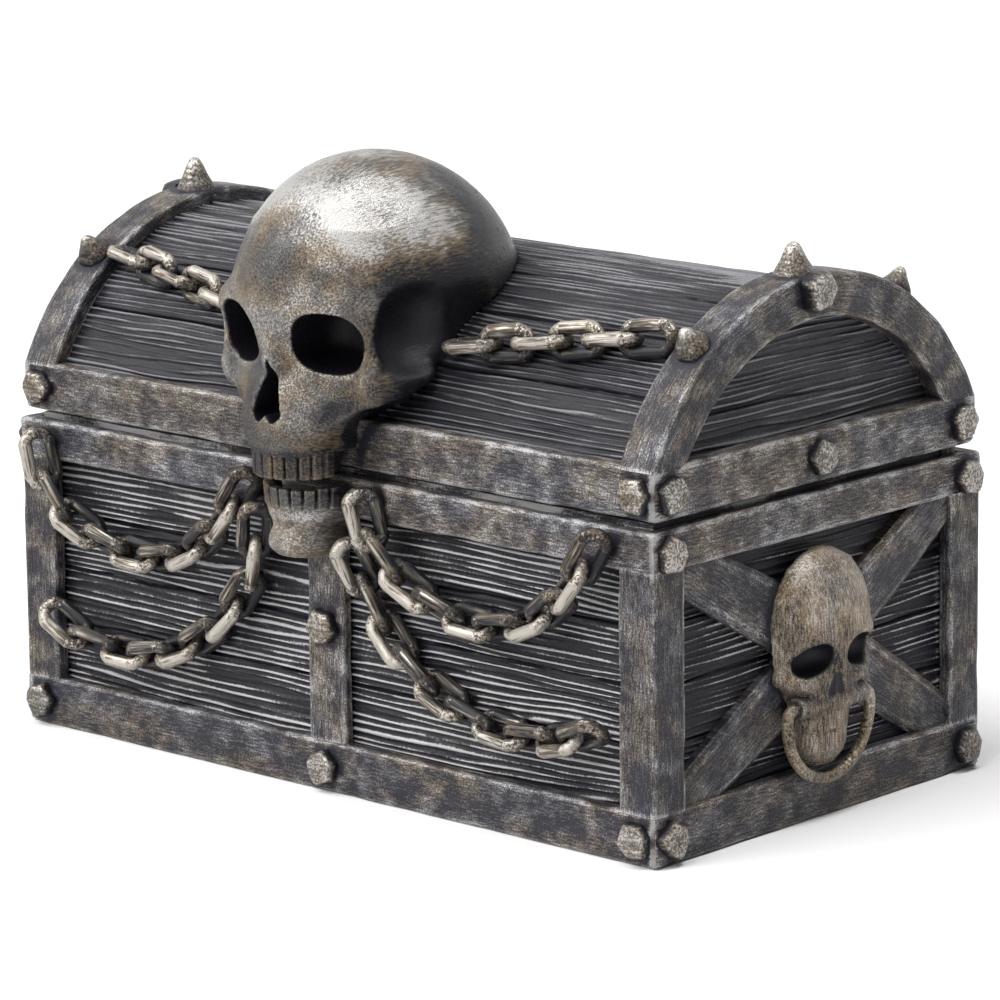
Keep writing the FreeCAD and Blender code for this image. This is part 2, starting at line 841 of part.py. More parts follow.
def one_solid(label, shape):
    if len(shape.Solids) != 1:
        raise RuntimeError("%s has %d solids" % (label, len(shape.Solids)))
    return feature_of(label, shape.Solids[0])


TOOTH_ROUND_SHARE = 0.25
TEETH_FAN = 64.0
# Arcs of the teeth: half width, reach, and how round the front is
UPPER_ARC_SHARES = (0.41, 0.80, 0.97)
LOWER_ARC_SHARES = (0.90, 0.83, 0.97)

# Rows of the skull's face: height, half width, reach, and how round the front is
FACE_SHARES = [
    (0.00, 0.44, 0.83, 0.97),
    (0.10, 0.44, 0.84, 0.97),
    (0.19, 0.49, 0.92, 0.92),
    (0.27, 0.55, 0.95, 0.88),
    (0.35, 0.66, 0.94, 0.70),
    (0.43, 0.81, 0.93, 0.56),
    (0.55, 0.88, 0.93, 0.50),
    (0.68, 0.89, 0.92, 0.48),
    (0.80, 0.87, 0.90, 0.48),
]
# Rounded forms of the skull: place, then half sizes, each across, ahead and up
BROW_SHARES = [(0.0, -0.13, 0.89), (1.0, 1.03, 0.58)]
NASAL_SHARES = [(0.0, 0.88, 0.80), (0.14, 0.08, 0.19)]
ARCH_SHARES = [(0.88, 0.03, 0.575), (0.10, 0.58, 0.12)]
ORBIT_SHARES = [(0.505, 0.50, 0.838), (0.34, 0.60, 0.189)]
TEMPLE_SHARES = [(1.10, -0.26, 0.93), (0.44, 0.57, 0.33)]
NOSE_SHARES = [(0.0, 0.71), (0.11, 0.53), (0.19, 0.38), (0.13, 0.342), (0.0, 0.375)]
NOSE_DEPTH_SHARES = (1.5, 0.45)
NASAL_TILT = 27.0
ARCH_TILT = 8.0
ORBIT_TILT = 8.0
ORBIT_YAW = 18.0


def make_skull():
    bone = Bone(s.skull_width, s.face_reach, s.cranium_up, -lid_half_y, lid_bottom)
    centre = vector(0, s.cranium_back - lid_half_y, lid_bottom + s.cranium_up)
    semi = [float(length) / 2 for length in (s.skull_width, s.skull_length, s.cranium_height)]
    cranium = ellipsoid(centre, semi, Rotation(RIGHT, -float(s.cranium_tilt)))
    parts = [cranium, bone.ball(*BROW_SHARES), bone.ball(*NASAL_SHARES, Rotation(RIGHT, -NASAL_TILT))]
    holes = [bone.cut_through(mirror_outline(NOSE_SHARES), NOSE_DEPTH_SHARES)]
    arches = []
    for side in (1, -1):
        yaw = Rotation(UP, ORBIT_YAW * side)
        orbit_turn = yaw.multiply(Rotation(BACK, ORBIT_TILT * side))
        holes.append(bone.ball(sided(ORBIT_SHARES[0], side), ORBIT_SHARES[1], orbit_turn))
        holes.append(bone.ball(sided(TEMPLE_SHARES[0], side), TEMPLE_SHARES[1]))
        arches.append(bone.ball(sided(ARCH_SHARES[0], side), ARCH_SHARES[1], Rotation(RIGHT, ARCH_TILT)))
    head = carved(joined(bone.face(FACE_SHARES, s.face_depth - lid_half_y), parts), holes)
    low = float(rim_z)
    row = bone.teeth(UPPER_TEETH, UPPER_ARC_SHARES, low, low + float(s.upper_tooth_height))
    head = joined(head, arches + row)
    seat = float(s.skull_seat)
    reach_x = float(s.skull_width)
    block = Part.makeBox(
        reach_x * 2,
        float(s.lid_depth) + seat * 2,
        float(band_top) + seat,
        Vector(-reach_x, -float(lid_half_y) - seat, 0),
    )
    drum = Part.makeCylinder(float(barrel_radius) + seat, reach_x * 2, vector(-reach_x, 0, arch_z), RIGHT)
    return one_solid("skull", carved(head, [block, drum]))


def sided(share, side):
    return (share[0] * side,) + tuple(share[1:])


def mirror_outline(shares):
    """The right half of an outline that starts and ends on the middle line, made whole."""
    return list(shares) + [(-across, up) for across, up in reversed(shares[1:-1])]


# Rows of the lower jaw: height, half width, reach, and how round the front is
JAW_SHARES = [
    (0.00, 0.50, 0.80, 0.70),
    (0.12, 0.72, 0.93, 0.80),
    (0.30, 0.74, 0.88, 0.80),
    (0.50, 0.76, 0.80, 0.85),
    (0.68, 0.86, 0.85, 0.90),
    (0.90, 0.80, 0.78, 0.90),
]


def make_lower_jaw():
    floor = s.base_height - s.jaw_gap - s.jaw_height
    bone = Bone(s.jaw_width, s.jaw_reach, s.jaw_height, -half_y, floor)
    body = bone.face(JAW_SHARES, s.overrun - half_y)
    high = float(s.base_height - s.jaw_gap)
    low = high - float(s.lower_tooth_height)
    row = bone.teeth(LOWER_TEETH, LOWER_ARC_SHARES, low, high)
    wall = Part.makeBox(
        float(s.jaw_width) * 2,
        float(s.jaw_width),
        float(s.base_height),
        Vector(-float(s.jaw_width), bone.wall_y, 0),
    )
    return one_solid("lower_jaw", carved(joined(body, row), [wall]))


# Rows of an end skull's face: height, half width, reach, and how round the front is
MASK_SHARES = [
    (0.00, 0.34, 0.46, 0.60),
    (0.07, 0.48, 0.66, 0.60),
    (0.18, 0.56, 0.72, 0.60),
    (0.30, 0.64, 0.78, 0.60),
    (0.42, 0.78, 0.86, 0.55),
    (0.54, 0.86, 0.94, 0.55),
    (0.68, 0.92, 0.96, 0.60),
]
MASK_CRANIUM_SHARES = [(0.0, 0.02, 0.70), (1.0, 1.0, 0.30)]
MASK_CHEEK_SHARES = [(0.72, 0.36), (0.30, 0.42, 0.070)]
MASK_ORBIT_SHARES = [(0.42, 0.98, 0.535), (0.27, 0.60, 0.060)]
MASK_NOSE_SHARES = [(0.02, 0.445), (0.10, 0.36), (0.13, 0.315), (0.03, 0.335)]
MASK_NOSE_DEPTH_SHARES = (1.5, 0.6)


def ring_place():
    """The ring's plane and the height of its axle."""
    return half_x + s.ring_wire / 2 + s.ring_clearance, mask_low + s.ring_axis_up


def boss_half():
    return s.ring_radius - s.ring_bend - s.ring_clearance


def make_skull_mask(label):
    bone = Bone(s.mask_width, s.mask_reach, mask_height, ZERO, mask_low)
    holes = []
    parts = [bone.ball(*MASK_CRANIUM_SHARES)]
    wall_x = panel_x + s.brace_stand
    ring_x, axle_z = ring_place()
    cheek_low = float(axle_z + s.ring_boss / 2 + s.cheek_gap)
    cheek_share = (cheek_low - bone.floor_z) / bone.height + MASK_CHEEK_SHARES[1][2]
    for side in (1, -1):
        parts.append(bone.ball(sided(MASK_CHEEK_SHARES[0], side) + (cheek_share,), MASK_CHEEK_SHARES[1]))
        tilt = Rotation(BACK, ORBIT_TILT * side)
        holes.append(bone.ball(sided(MASK_ORBIT_SHARES[0], side), MASK_ORBIT_SHARES[1], tilt))
        nostril = [(across * side, up) for across, up in MASK_NOSE_SHARES]
        holes.append(bone.cut_through(nostril, MASK_NOSE_DEPTH_SHARES))
    head = carved(joined(bone.face(MASK_SHARES, s.overrun), parts), holes)
    half = float(boss_half())
    ahead = float(wall_x - ring_x)
    boss = Part.makeCylinder(float(s.ring_boss) / 2, half * 2, Vector(-half, ahead, float(axle_z)), RIGHT)
    bore_radius = float(s.ring_wire + s.ring_bore_play) / 2
    depth = float(s.ring_pin + s.ring_clearance)
    bores = []
    for side in (1, -1):
        mouth = Vector((half + float(s.overrun)) * side, ahead, float(axle_z))
        bores.append(Part.makeCylinder(bore_radius, depth + float(s.overrun), mouth, Vector(-side, 0, 0)))
    wall = Part.makeBox(
        float(s.mask_width) * 2,
        float(s.mask_width),
        float(s.base_height),
        Vector(-float(s.mask_width), 0, 0),
    )
    mask = one_solid(label, carved(head.fuse(boss), bores + [wall]))
    mask.Placement = Placement(vector(wall_x, 0), Rotation(UP, 90))
    return mask


def make_ring_pull(label):
    body = new_body(label)
    ring_x, axle_z = ring_place()
    radius = s.ring_radius
    pin_end = boss_half() - s.ring_pin
    bend_y = radius - s.ring_bend
    bend_z = axle_z - s.ring_bend
    low_z = axle_z - s.ring_drop
    centre_z = low_z + radius
    right_half = [(pin_end, axle_z), (bend_y, axle_z), (radius, bend_z), (radius, centre_z), (ZERO, low_z)]
    vertices = right_half + [(-y, z) for y, z in reversed(right_half[:-1])]
    bend = (s.ring_bend, (bend_y, bend_z))
    far_bend = (s.ring_bend, (-bend_y, bend_z))
    loop = (radius, (ZERO, centre_z))
    spine = new_sketch(body, "spine", "YZ_Plane", ring_x)
    path(spine, vertices, [None, bend, None, loop, loop, None, far_bend, None], False)
    section = new_sketch(body, "section", "XZ_Plane", -pin_end)
    circle(section, ring_x, axle_z, s.ring_wire / 2)
    doc.recompute()
    pipe = body.newObject("PartDesign::AdditivePipe", label + "_wire")
    pipe.Profile = section
    pipe.Spine = (spine, ["Edge%d" % (i + 1) for i in range(len(vertices) - 1)])
    return body


# Hinges on the back
def make_hinge_leaf(label, centre_x, on_lid):
    body = new_body(label)
    start = s.hinge_length / -2 + centre_x
    gap = s.hinge_barrel / 2 + s.leaf_clearance
    outside = half_y + s.leaf_stand
    up = 1 if on_lid else -1
    near_z = rim_z + gap * up
    far_z = near_z + s.leaf_height * up
    plate = new_sketch(body, "plate", "YZ_Plane", start)
    rectangle(plate, lid_half_y if on_lid else half_y, near_z, outside, far_z)
    pad(body, plate, s.hinge_length)
    third = s.hinge_length / 3
    cut = s.leaf_clearance / 2
    if on_lid:
        knuckles = [(start, third - cut), (start + third * 2 + cut, third - cut)]
    else:
        knuckles = [(start + third + cut, third - cut * 2)]
    for i, (x, length) in enumerate(knuckles):
        tab = new_sketch(body, "tab%d" % i, "YZ_Plane", x)
        rectangle(tab, half_y, rim_z, outside, near_z)
        pad(body, tab, length)
        barrel = new_sketch(body, "barrel%d" % i, "YZ_Plane", x)
        circle(barrel, hinge_y, rim_z, s.hinge_barrel / 2)
        pad(body, barrel, length)
    bore = new_sketch(body, "bore", "YZ_Plane", start + s.hinge_length + s.overrun)
    circle(bore, hinge_y, rim_z, (s.hinge_pin + s.hinge_play) / 2 if on_lid else s.hinge_pin / 2)
    pocket(body, bore, s.hinge_length + s.overrun * 2)
    return body


def make_hinge_pin(label, centre_x):
    pin = doc.addObject("Part::Cylinder", label)
    pin.Label = label
    bind(pin, "Radius", s.hinge_pin / 2)
    bind(pin, "Height", s.hinge_length)
    pin.Placement = Placement(Vector(), Rotation(BACK, 90))
    bind(pin, "Placement.Base.x", s.hinge_length / -2 + centre_x)
    bind(pin, "Placement.Base.y", hinge_y)
    bind(pin, "Placement.Base.z", rim_z)
    return pin


def screw_head():
    radius = float(s.screw_head) / 2
    stand = float(s.screw_stand)
    dome = (radius * radius + stand * stand) / (2 * stand)
    ball = Part.makeSphere(dome, Vector(0, 0, stand - dome))
    return ball.common(Part.makeCylinder(radius, stand))


def make_hinge_screws(label, on_lid):
    head = screw_head()
    middle_gap = s.hinge_barrel / 2 + s.leaf_clearance + s.leaf_height / 2
    z = rim_z + middle_gap if on_lid else rim_z - middle_gap
    heads = []
    for side in (-1, 1):
        for offset in (s.hinge_length / -4, s.hinge_length / 4):
            heads.append(placed(head, vector(hinge_x * side + offset, half_y + s.leaf_stand, z), BACK))
    return feature_of(label, Part.makeCompound(heads))


def make_hinges():
    pieces = []
    for side, name in ((-1, "left"), (1, "right")):
        centre_x = hinge_x * side
        pieces.append(make_hinge_leaf("hinge_%s_base_leaf" % name, centre_x, False))
        pieces.append(make_hinge_leaf("hinge_%s_lid_leaf" % name, centre_x, True))
        pieces.append(make_hinge_pin("hinge_%s_pin" % name, centre_x))
    pieces.append(make_hinge_screws("hinge_base_screws", False))
    pieces.append(make_hinge_screws("hinge_lid_screws", True))
    return pieces


def make_base():
    pieces = [
        make_base_shell(),
        make_band("base_bottom_band", ZERO, s.bottom_band_height, half_x, half_y, panel_x, panel_y),
        make_band("base_top_band", rail_high, s.top_band_height, half_x, half_y, panel_x, panel_y),
        make_corner_post("corner_post_front_left", -1, -1),
        make_corner_post("corner_post_front_right", 1, -1),
        make_corner_post("corner_post_back_left", -1, 1),
        make_corner_post("corner_post_back_right", 1, 1),
        make_centre_strap("front_centre_strap", -1),
        make_centre_strap("back_centre_strap", 1),
        make_base_rivets(),
        make_lower_jaw(),
    ]
    return pieces + [make_front_chain(label) for label in FRONT_CHAIN_SHARES]


def make_ends():
    makers = {"cross_brace": make_cross_brace, "skull_mask": make_skull_mask, "ring_pull": make_ring_pull}
    right = [make("right_" + name) for name, make in makers.items()]
    left = [make("left_" + name) for name, make in makers.items()]
    half_turn = Placement(Vector(), Rotation(UP, 180))
    for piece in left:
        piece.Placement = half_turn.multiply(piece.Placement)
    return right + left


def make_lid():
    outer = (lid_half_x, lid_half_y)
    hole = (lid_panel_x, lid_panel_y)
    return [
        make_lid_shell(),
        make_band("lid_band", lid_bottom, s.lid_band_height, *outer, *hole),
        make_lid_hoop("lid_hoop_left", -1),
        make_lid_hoop("lid_hoop_right", 1),
        make_lid_rivets(),
        make_lid_studs(),
        make_lid_chain("lid_chain_left", -1),
        make_lid_chain("lid_chain_right", 1),
        make_skull(),
    ]


def write(pieces):
    doc.recompute()
    for thing in doc.Objects:
        if "Invalid" in thing.State or "Error" in thing.State:
            raise RuntimeError("%s failed: %s" % (thing.Label, thing.State))
    for piece in pieces:
        if piece.Shape.isNull() or not piece.Shape.isValid():
            raise RuntimeError(piece.Label + " has no valid shape")
    os.makedirs("parts", exist_ok=True)
    for piece in pieces:
        piece.Shape.exportStep("parts/%s.step" % piece.Label)


write(make_base() + make_ends() + make_lid() + make_hinges())
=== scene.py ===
import math
from typing import NamedTuple

import bpy
import numpy as np
import openvdb
from mathutils import Matrix, Vector
from mathutils.kdtree import KDTree


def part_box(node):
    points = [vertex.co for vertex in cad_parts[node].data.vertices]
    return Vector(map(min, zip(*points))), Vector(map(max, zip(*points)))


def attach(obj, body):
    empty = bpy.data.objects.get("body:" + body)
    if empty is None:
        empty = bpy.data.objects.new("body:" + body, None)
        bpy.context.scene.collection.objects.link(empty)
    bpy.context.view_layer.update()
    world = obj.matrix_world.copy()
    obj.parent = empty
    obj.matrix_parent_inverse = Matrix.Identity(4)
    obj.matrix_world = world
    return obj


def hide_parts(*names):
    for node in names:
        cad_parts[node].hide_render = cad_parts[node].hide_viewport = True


# Treasure chest box. X is the width, the front faces -Y and Z is up.
# Shapes are worked out in millimetres and stored in the frame's metres.
MM = 0.001
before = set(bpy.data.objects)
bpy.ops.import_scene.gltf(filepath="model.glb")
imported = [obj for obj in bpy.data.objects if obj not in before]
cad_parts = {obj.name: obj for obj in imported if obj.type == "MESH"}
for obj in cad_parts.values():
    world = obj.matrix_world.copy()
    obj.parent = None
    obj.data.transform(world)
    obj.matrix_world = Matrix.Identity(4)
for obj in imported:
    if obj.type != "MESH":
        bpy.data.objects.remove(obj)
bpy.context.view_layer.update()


def box(node):
    low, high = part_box(node)
    return np.array(low) / MM, np.array(high) / MM


# Places read from the frame
base_high = box("base_shell")[1]
foot_low, foot_high = box("base_bottom_band")
rail_low, rail_high = box("base_top_band")
post_low, post_high = box("corner_post_front_right")
lid_low, lid_high = box("lid_shell")
rim_low, rim_high = box("lid_band")
hoop_low, hoop_high = box("lid_hoop_right")
brace_low, brace_high = box("right_cross_brace")
mask_wall = box("right_skull_mask")[0][0]
ring_top = box("right_ring_pull")[1][2]

arch_rise = hoop_high[2] - rim_high[2]
hoop_radius = (rim_high[1] ** 2 + arch_rise ** 2) / (2 * arch_rise)
arch_z = hoop_high[2] - hoop_radius
barrel_radius = lid_high[2] - arch_z
strap_stand = rail_high[0] - base_high[0]

# Sizes of the pieces and of their surface work
SIZE = {
    "wall": 4.0,
    "wall_round": 0.3,
    "wall_step": 1.0,
    "floor": 5.0,
    "floor_relief": 0.12,
    "floor_along_step": 2.0,
    "floor_across_step": 1.0,
    "rim": 56.8,
    "lip": 1.6,
    "lip_sink": 1.0,
    "lip_round": 0.4,
    "lip_step": 0.6,
    "lip_corner": 0.3,
    "tuck": 0.6,
    "post_tuck": 0.4,
    "arch_tuck": 1.0,
    "along_step": 0.8,
    "across_step": 0.13,
    "lunette_step": 0.6,
    "lunette_inset": 0.5,
    "grain_depth": 0.7,
    "grain_pitch": 1.15,
    "seam_depth": 0.7,
    "seam_width": 0.5,
    "seam_wander": 0.25,
    "plank_level": 0.25,
    "strap_step": 0.9,
    "profile_step": 0.24,
    "strap_round": 0.8,
    "strap_corner": 0.5,
    "streak_depth": 0.05,
    "dent_depth": 0.25,
    "hoop_face": 7.8,
    "brace_half": 4.3,
    "brace_bow": 2.6,
    "brace_bevel": 1.2,
    "brace_lift": 0.35,
    "brace_sink": 0.5,
    "brace_reach": 2.0,
    "brace_rise": 1.5,
    "brace_streaks": 9.0,
    "link_length": 11.5,
    "link_width": 6.5,
    "wire": 2.1,
    "head_sink": 0.5,
    "end_stand": 1.0,
    "skull_voxel": 0.28,
    "small_voxel": 0.2,
    "skull_sink": 0.3,
    "skull_seat": 0.02,
    "ring_wire": 1.0,
    "boss_half": 8.75,
    "boss_radius": 1.9,
    "boss_out": 2.75,
    "boss_blend": 0.6,
    "bone_rough": 0.04,
    "mask_rough": 0.03,
    # How far the painted shade and dark wash next to fasteners and links reach, and where they are full
    "near_wash_and_shade_reach": 1.5,
    "near_wash_and_shade_full": 0.3,
}
BASE_PLANKS = 4
LID_PLANKS = 8
LUNETTE_PLANKS = 4
CORNER_POINTS = 5
SHARP_DEGREES = 60

# How far each kind of mark runs, along it and across it
RUN = {
    "bend": (50.0, 5.0),
    "wave": (14.0, 2.0),
    "broad": (24.0, 3.2),
    "hair": (6.0, 0.45),
    "streak": (16.0, 0.9),
    "blotch": (5.0, 3.0),
    "dent": (6.0, 4.0),
    "floor": (20.0, 2.0),
}
SEAM_RUN = 9.0

# How much each mark counts in the grain and in the streaks of a strap
MARK_SHARES = {"bend": 0.8, "wave": 0.3, "broad": 0.14, "hair": 0.14, "streak": 0.7, "blotch": 0.3}

# The crests of the grain: their edges and height, how well they last, and the ground between them
CREST_EDGE_SHARES = (0.05, 0.72)
CREST_SHARE = 0.72
GROUND_SHARE = 0.22
CREST_RUN = 16.0
LINE_STEP = 1.7
LASTING_SHARES = {"mean": 0.62, "varies": 0.55, "least": 0.1}

# How far surfaces count as raised where the grain doesn't say, and how well the ends take paint
INSIDE_RAISED_SHARE = 0.12
FLOOR_RAISED_SHARE = 0.25
END_HOLD_SHARE = 0.54
# How strong the painted shade and dark wash next to fasteners and links are
NEAR_WASH_AND_SHADE_SHARE = 0.45

# Steps between the seeds and places of like pieces
PLANK_SHIFT = 31
PLANK_SEEDS = 11
SIDE_SHIFT = 200


# Noise
def lattice(x, y, z, seed):
    """A fixed number from -1 to 1 for each whole-number place."""
    mixed = (x * 73856093) ^ (y * 19349663) ^ (z * 83492791) ^ (seed * 40503)
    mixed = ((mixed ^ (mixed >> 13)) * 1274126177) & 0xFFFFFFFF
    return ((mixed ^ (mixed >> 16)) & 0xFFFF) / 32767.5 - 1.0


def noise(x, y, z=0.0, seed=0):
    x, y, z = np.broadcast_arrays(np.asarray(x, float), y, z)
    cells = [np.floor(axis).astype(np.int64) for axis in (x, y, z)]
    parts = [axis - cell for axis, cell in zip((x, y, z), cells)]
    eased = [part * part * (3 - 2 * part) for part in parts]
    total = np.zeros(x.shape)
    for corner in range(8):
        steps = [(corner >> axis) & 1 for axis in range(3)]
        weight = 1.0
        for step, ease in zip(steps, eased):
            weight = weight * (ease if step else 1 - ease)
        total += weight * lattice(*(cell + step for cell, step in zip(cells, steps)), seed)
    return total


def layered(x, y, z=0.0, seed=0, octaves=3):
    total = 0.0
    for octave in range(octaves):
        scale = 2.0 ** octave
        total = total + noise(x * scale, y * scale, np.asarray(z) * scale, seed + octave) / scale
    return total


def ramp(x, start, end):
    """Eases from 0 at start to 1 at end."""
    share = np.clip((x - start) / (end - start), 0, 1)
    return share * share * (3 - 2 * share)


def marks(kind, u, v, seed, octaves=1):
    """Noise drawn out along u."""
    along, across = RUN[kind]
    return layered(u / along, v / across, 0.0, seed, octaves)


def grain(u, v, seed):
    """Height of combed, weathered timber: 0 in its grooves, 1 on the thin crests, which run along u."""
    bend, wave, broad, hair = (
        MARK_SHARES[kind] * marks(kind, u, v, seed + shift)
        for kind, shift in (("bend", 0), ("wave", 1), ("broad", 3), ("hair", 4))
    )
    phase = v / SIZE["grain_pitch"] + bend + wave
    line = np.floor(phase)
    crest = 1 - ramp(np.abs(phase - line - 0.5) * 2, *CREST_EDGE_SHARES)
    lasting = LASTING_SHARES["varies"] * noise(u / CREST_RUN, line * LINE_STEP, 0.0, seed + 2)
    lasting = np.clip(LASTING_SHARES["mean"] + lasting, LASTING_SHARES["least"], 1)
    return np.clip(GROUND_SHARE + CREST_SHARE * crest * lasting + broad + hair, 0, 1)


def streaks(u, v, seed):
    """Height of brushed, worn strap iron, about -1 to 1, with streaks that run along u."""
    long_lines = marks("streak", u, v, seed, 3)
    blotches = marks("blotch", u, v, seed + 5)
    return MARK_SHARES["streak"] * long_lines + MARK_SHARES["blotch"] * blotches


def flow_of(u, v, seed):
    """The directions along and across the strokes, and a third that sets pieces apart."""
    u, v = np.broadcast_arrays(u, v)
    return np.stack([u, v, np.full(u.shape, float(seed))], axis=-1)


# Meshes
class Shape:
    """Closed parts in millimetres, each with what the paint needs at its points.

    flow runs along and across the brush strokes, raised is 0 in hollows and 1 on ridges,
    or unknown where it follows from the form, and hollow is 1 where painted shade and dark wash are full.
    """

    def __init__(self):
        self.points = []
        self.quads = []
        self.caps = []
        self.paint = {"flow": [], "raised": [], "hollow": []}
        self.count = 0

    def add(self, points, quads, caps=(), flow=None, raised=None, hollow=None):
        points = np.asarray(points, float).reshape(-1, 3)
        quads = np.asarray(quads, np.int64).reshape(-1, 4)
        caps = [np.asarray(cap, np.int64) for cap in caps]
        if volume(points, quads, caps) < 0:
            quads = quads[:, ::-1]
            caps = [cap[::-1] for cap in caps]
        self.points.append(points)
        self.quads.append(quads + self.count)
        self.caps += [cap + self.count for cap in caps]
        self.paint["flow"].append(padded(flow, points))
        self.paint["raised"].append(padded(raised, np.full(len(points), np.nan)))
        self.paint["hollow"].append(padded(hollow, np.zeros(len(points))))
        self.count += len(points)
        return self


def padded(values, rest):
    """The values given for the first points, and the rest for those that follow."""
    if values is None:
        return rest
    values = np.asarray(values, float).reshape((-1,) + rest.shape[1:])
    return np.concatenate([values, rest[len(values):]])


def volume(points, quads, caps):
    a, b, c, d = (points[quads[:, k]] for k in range(4))
    total = np.einsum("ij,ij->", a, np.cross(b, c)) + np.einsum("ij,ij->", a, np.cross(c, d))
    for cap in caps:
        ring = points[cap]
        total += (np.cross(ring[1:-1], ring[2:]) @ ring[0]).sum()
    return total


def grid_quads(rows, columns, close_rows=False, close_columns=False):
    i = np.arange(rows if close_rows else rows - 1)[:, None]
    j = np.arange(columns if close_columns else columns - 1)[None, :]
    after_i = (i + 1) % rows
    after_j = (j + 1) % columns
    here, beyond = i * columns, after_i * columns
    corners = np.broadcast_arrays(here + j, beyond + j, beyond + after_j, here + after_j)
    return np.stack([corner.ravel() for corner in corners], axis=1)


def convexity(points, quads, normals, rounds):
    """How far each point stands out of its smoothed surroundings, in millimetres."""
    starts = quads.ravel()
    ends = np.roll(quads, -1, axis=1).ravel()
    size = len(points)
    share = np.maximum(np.bincount(starts, minlength=size) + np.bincount(ends, minlength=size), 1)
    smooth = points.copy()
    for _ in range(rounds):
        total = np.empty_like(smooth)
        for axis in range(3):
            values = smooth[:, axis]
            total[:, axis] = np.bincount(starts, values[ends], size)
            total[:, axis] += np.bincount(ends, values[starts], size)
        smooth = (smooth + total / share[:, None]) / 2
    return np.einsum("ij,ij->i", points - smooth, normals)


def wash_and_shade_near(points, neighbours):
    """1 next to the fasteners and links that stand on a surface: painted shade there, with the dark wash that
    gathers there.
    """
    reach = SIZE["near_wash_and_shade_reach"]
    tree = KDTree(len(neighbours))
    for number, place in enumerate(neighbours):
        tree.insert(place, number)
    tree.balance()
    low, high = neighbours.min(0) - reach, neighbours.max(0) + reach
    near = np.flatnonzero(np.all((points > low) & (points < high), axis=1))
    gaps = np.full(len(points), reach)
    gaps[near] = [tree.find(point)[2] for point in points[near]]
    return ramp(gaps, reach, SIZE["near_wash_and_shade_full"])


def piece(name, shape, body, nodes, material, wear, neighbours=()):
    """Makes the object. wear is (rounds, millimetres): what counts as a raised edge for the paint."""
    points = np.concatenate(shape.points)
    quads = np.concatenate(shape.quads)
    mesh = bpy.data.meshes.new(name)
    loops = np.concatenate([quads.ravel()] + shape.caps)
    sizes = np.concatenate([np.full(len(quads), 4), [len(cap) for cap in shape.caps]]).astype(np.int32)
    starts = np.concatenate([[0], np.cumsum(sizes)[:-1]]).astype(np.int32)
    mesh.vertices.add(len(points))
    mesh.vertices.foreach_set("co", (points * MM).astype(np.float32).ravel())
    mesh.loops.add(len(loops))
    mesh.loops.foreach_set("vertex_index", loops.astype(np.int32))
    mesh.polygons.add(len(sizes))
    mesh.polygons.foreach_set("loop_start", starts)
    mesh.polygons.foreach_set("use_smooth", np.ones(len(sizes), bool))
    mesh.update(calc_edges=True)
    mesh.validate()
    normals = np.empty(len(points) * 3, np.float32)
    mesh.vertex_normals.foreach_get("vector", normals)
    rounds, reach = wear
    paint = {label: np.concatenate(values) for label, values in shape.paint.items()}
    edges = np.clip(0.5 + convexity(points, quads, normals.reshape(-1, 3), rounds) / (2 * reach), 0, 1)
    known = np.isfinite(paint["raised"])
    paint["raised"] = np.where(known, np.nan_to_num(paint["raised"]) + 0.5 * (edges - 0.5), edges)
    # Painted shade, with dark wash, next to the fasteners and links named in neighbours
    for node in neighbours:
        near_wash_and_shade = NEAR_WASH_AND_SHADE_SHARE * wash_and_shade_near(points, np.concatenate(islands(node)))
        paint["hollow"] = np.maximum(paint["hollow"], near_wash_and_shade)
    for label, values in paint.items():
        kind, field = ("FLOAT_VECTOR", "vector") if values.ndim == 2 else ("FLOAT", "value")
        attribute = mesh.attributes.new(label, kind, "POINT")
        attribute.data.foreach_set(field, values.astype(np.float32).ravel())
    mesh.set_sharp_from_angle(angle=math.radians(SHARP_DEGREES))
    mesh.materials.append(material)
    thing = bpy.data.objects.new(name, mesh)
    bpy.context.scene.collection.objects.link(thing)
    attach(thing, body)
    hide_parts(*nodes)
    return thing


def slab(outer, back):
    """A closed plate: outer is a grid of points, and back holds the two end columns of its plain rear."""
    rows, columns, _ = outer.shape
    points = np.concatenate([outer.reshape(-1, 3), back.reshape(-1, 3)])
    quads = [grid_quads(rows, columns)]
    first = rows * columns
    j = np.arange(columns - 1)
    near, far = first + j, first + columns + j
    last_row = (rows - 1) * columns
    quads.append(np.stack([near, near + 1, far + 1, far], axis=1))
    quads.append(np.stack([j, j + 1, near + 1, near], axis=1))
    quads.append(np.stack([last_row + j + 1, last_row + j, far, far + 1], axis=1))
    along = np.arange(rows) * columns
    low_cap = np.concatenate([along[::-1], [first, first + columns]])
    high_cap = np.concatenate([along + columns - 1, [first + 2 * columns - 1, first + columns - 1]])
    return points, np.concatenate(quads), [low_cap, high_cap]


def sweep(rings, closed=False):
    """A tube through rings of points: closed on itself, or capped at both ends."""
    count, around, _ = rings.shape
    quads = grid_quads(count, around, closed, True)
    caps = []
    if not closed:
        last = (count - 1) * around
        caps = [np.arange(around), last + np.arange(around)[::-1]]
    return rings.reshape(-1, 3), quads, caps


def steps(low, high, step):
    return np.linspace(low, high, max(2, int(round((high - low) / step)) + 1))


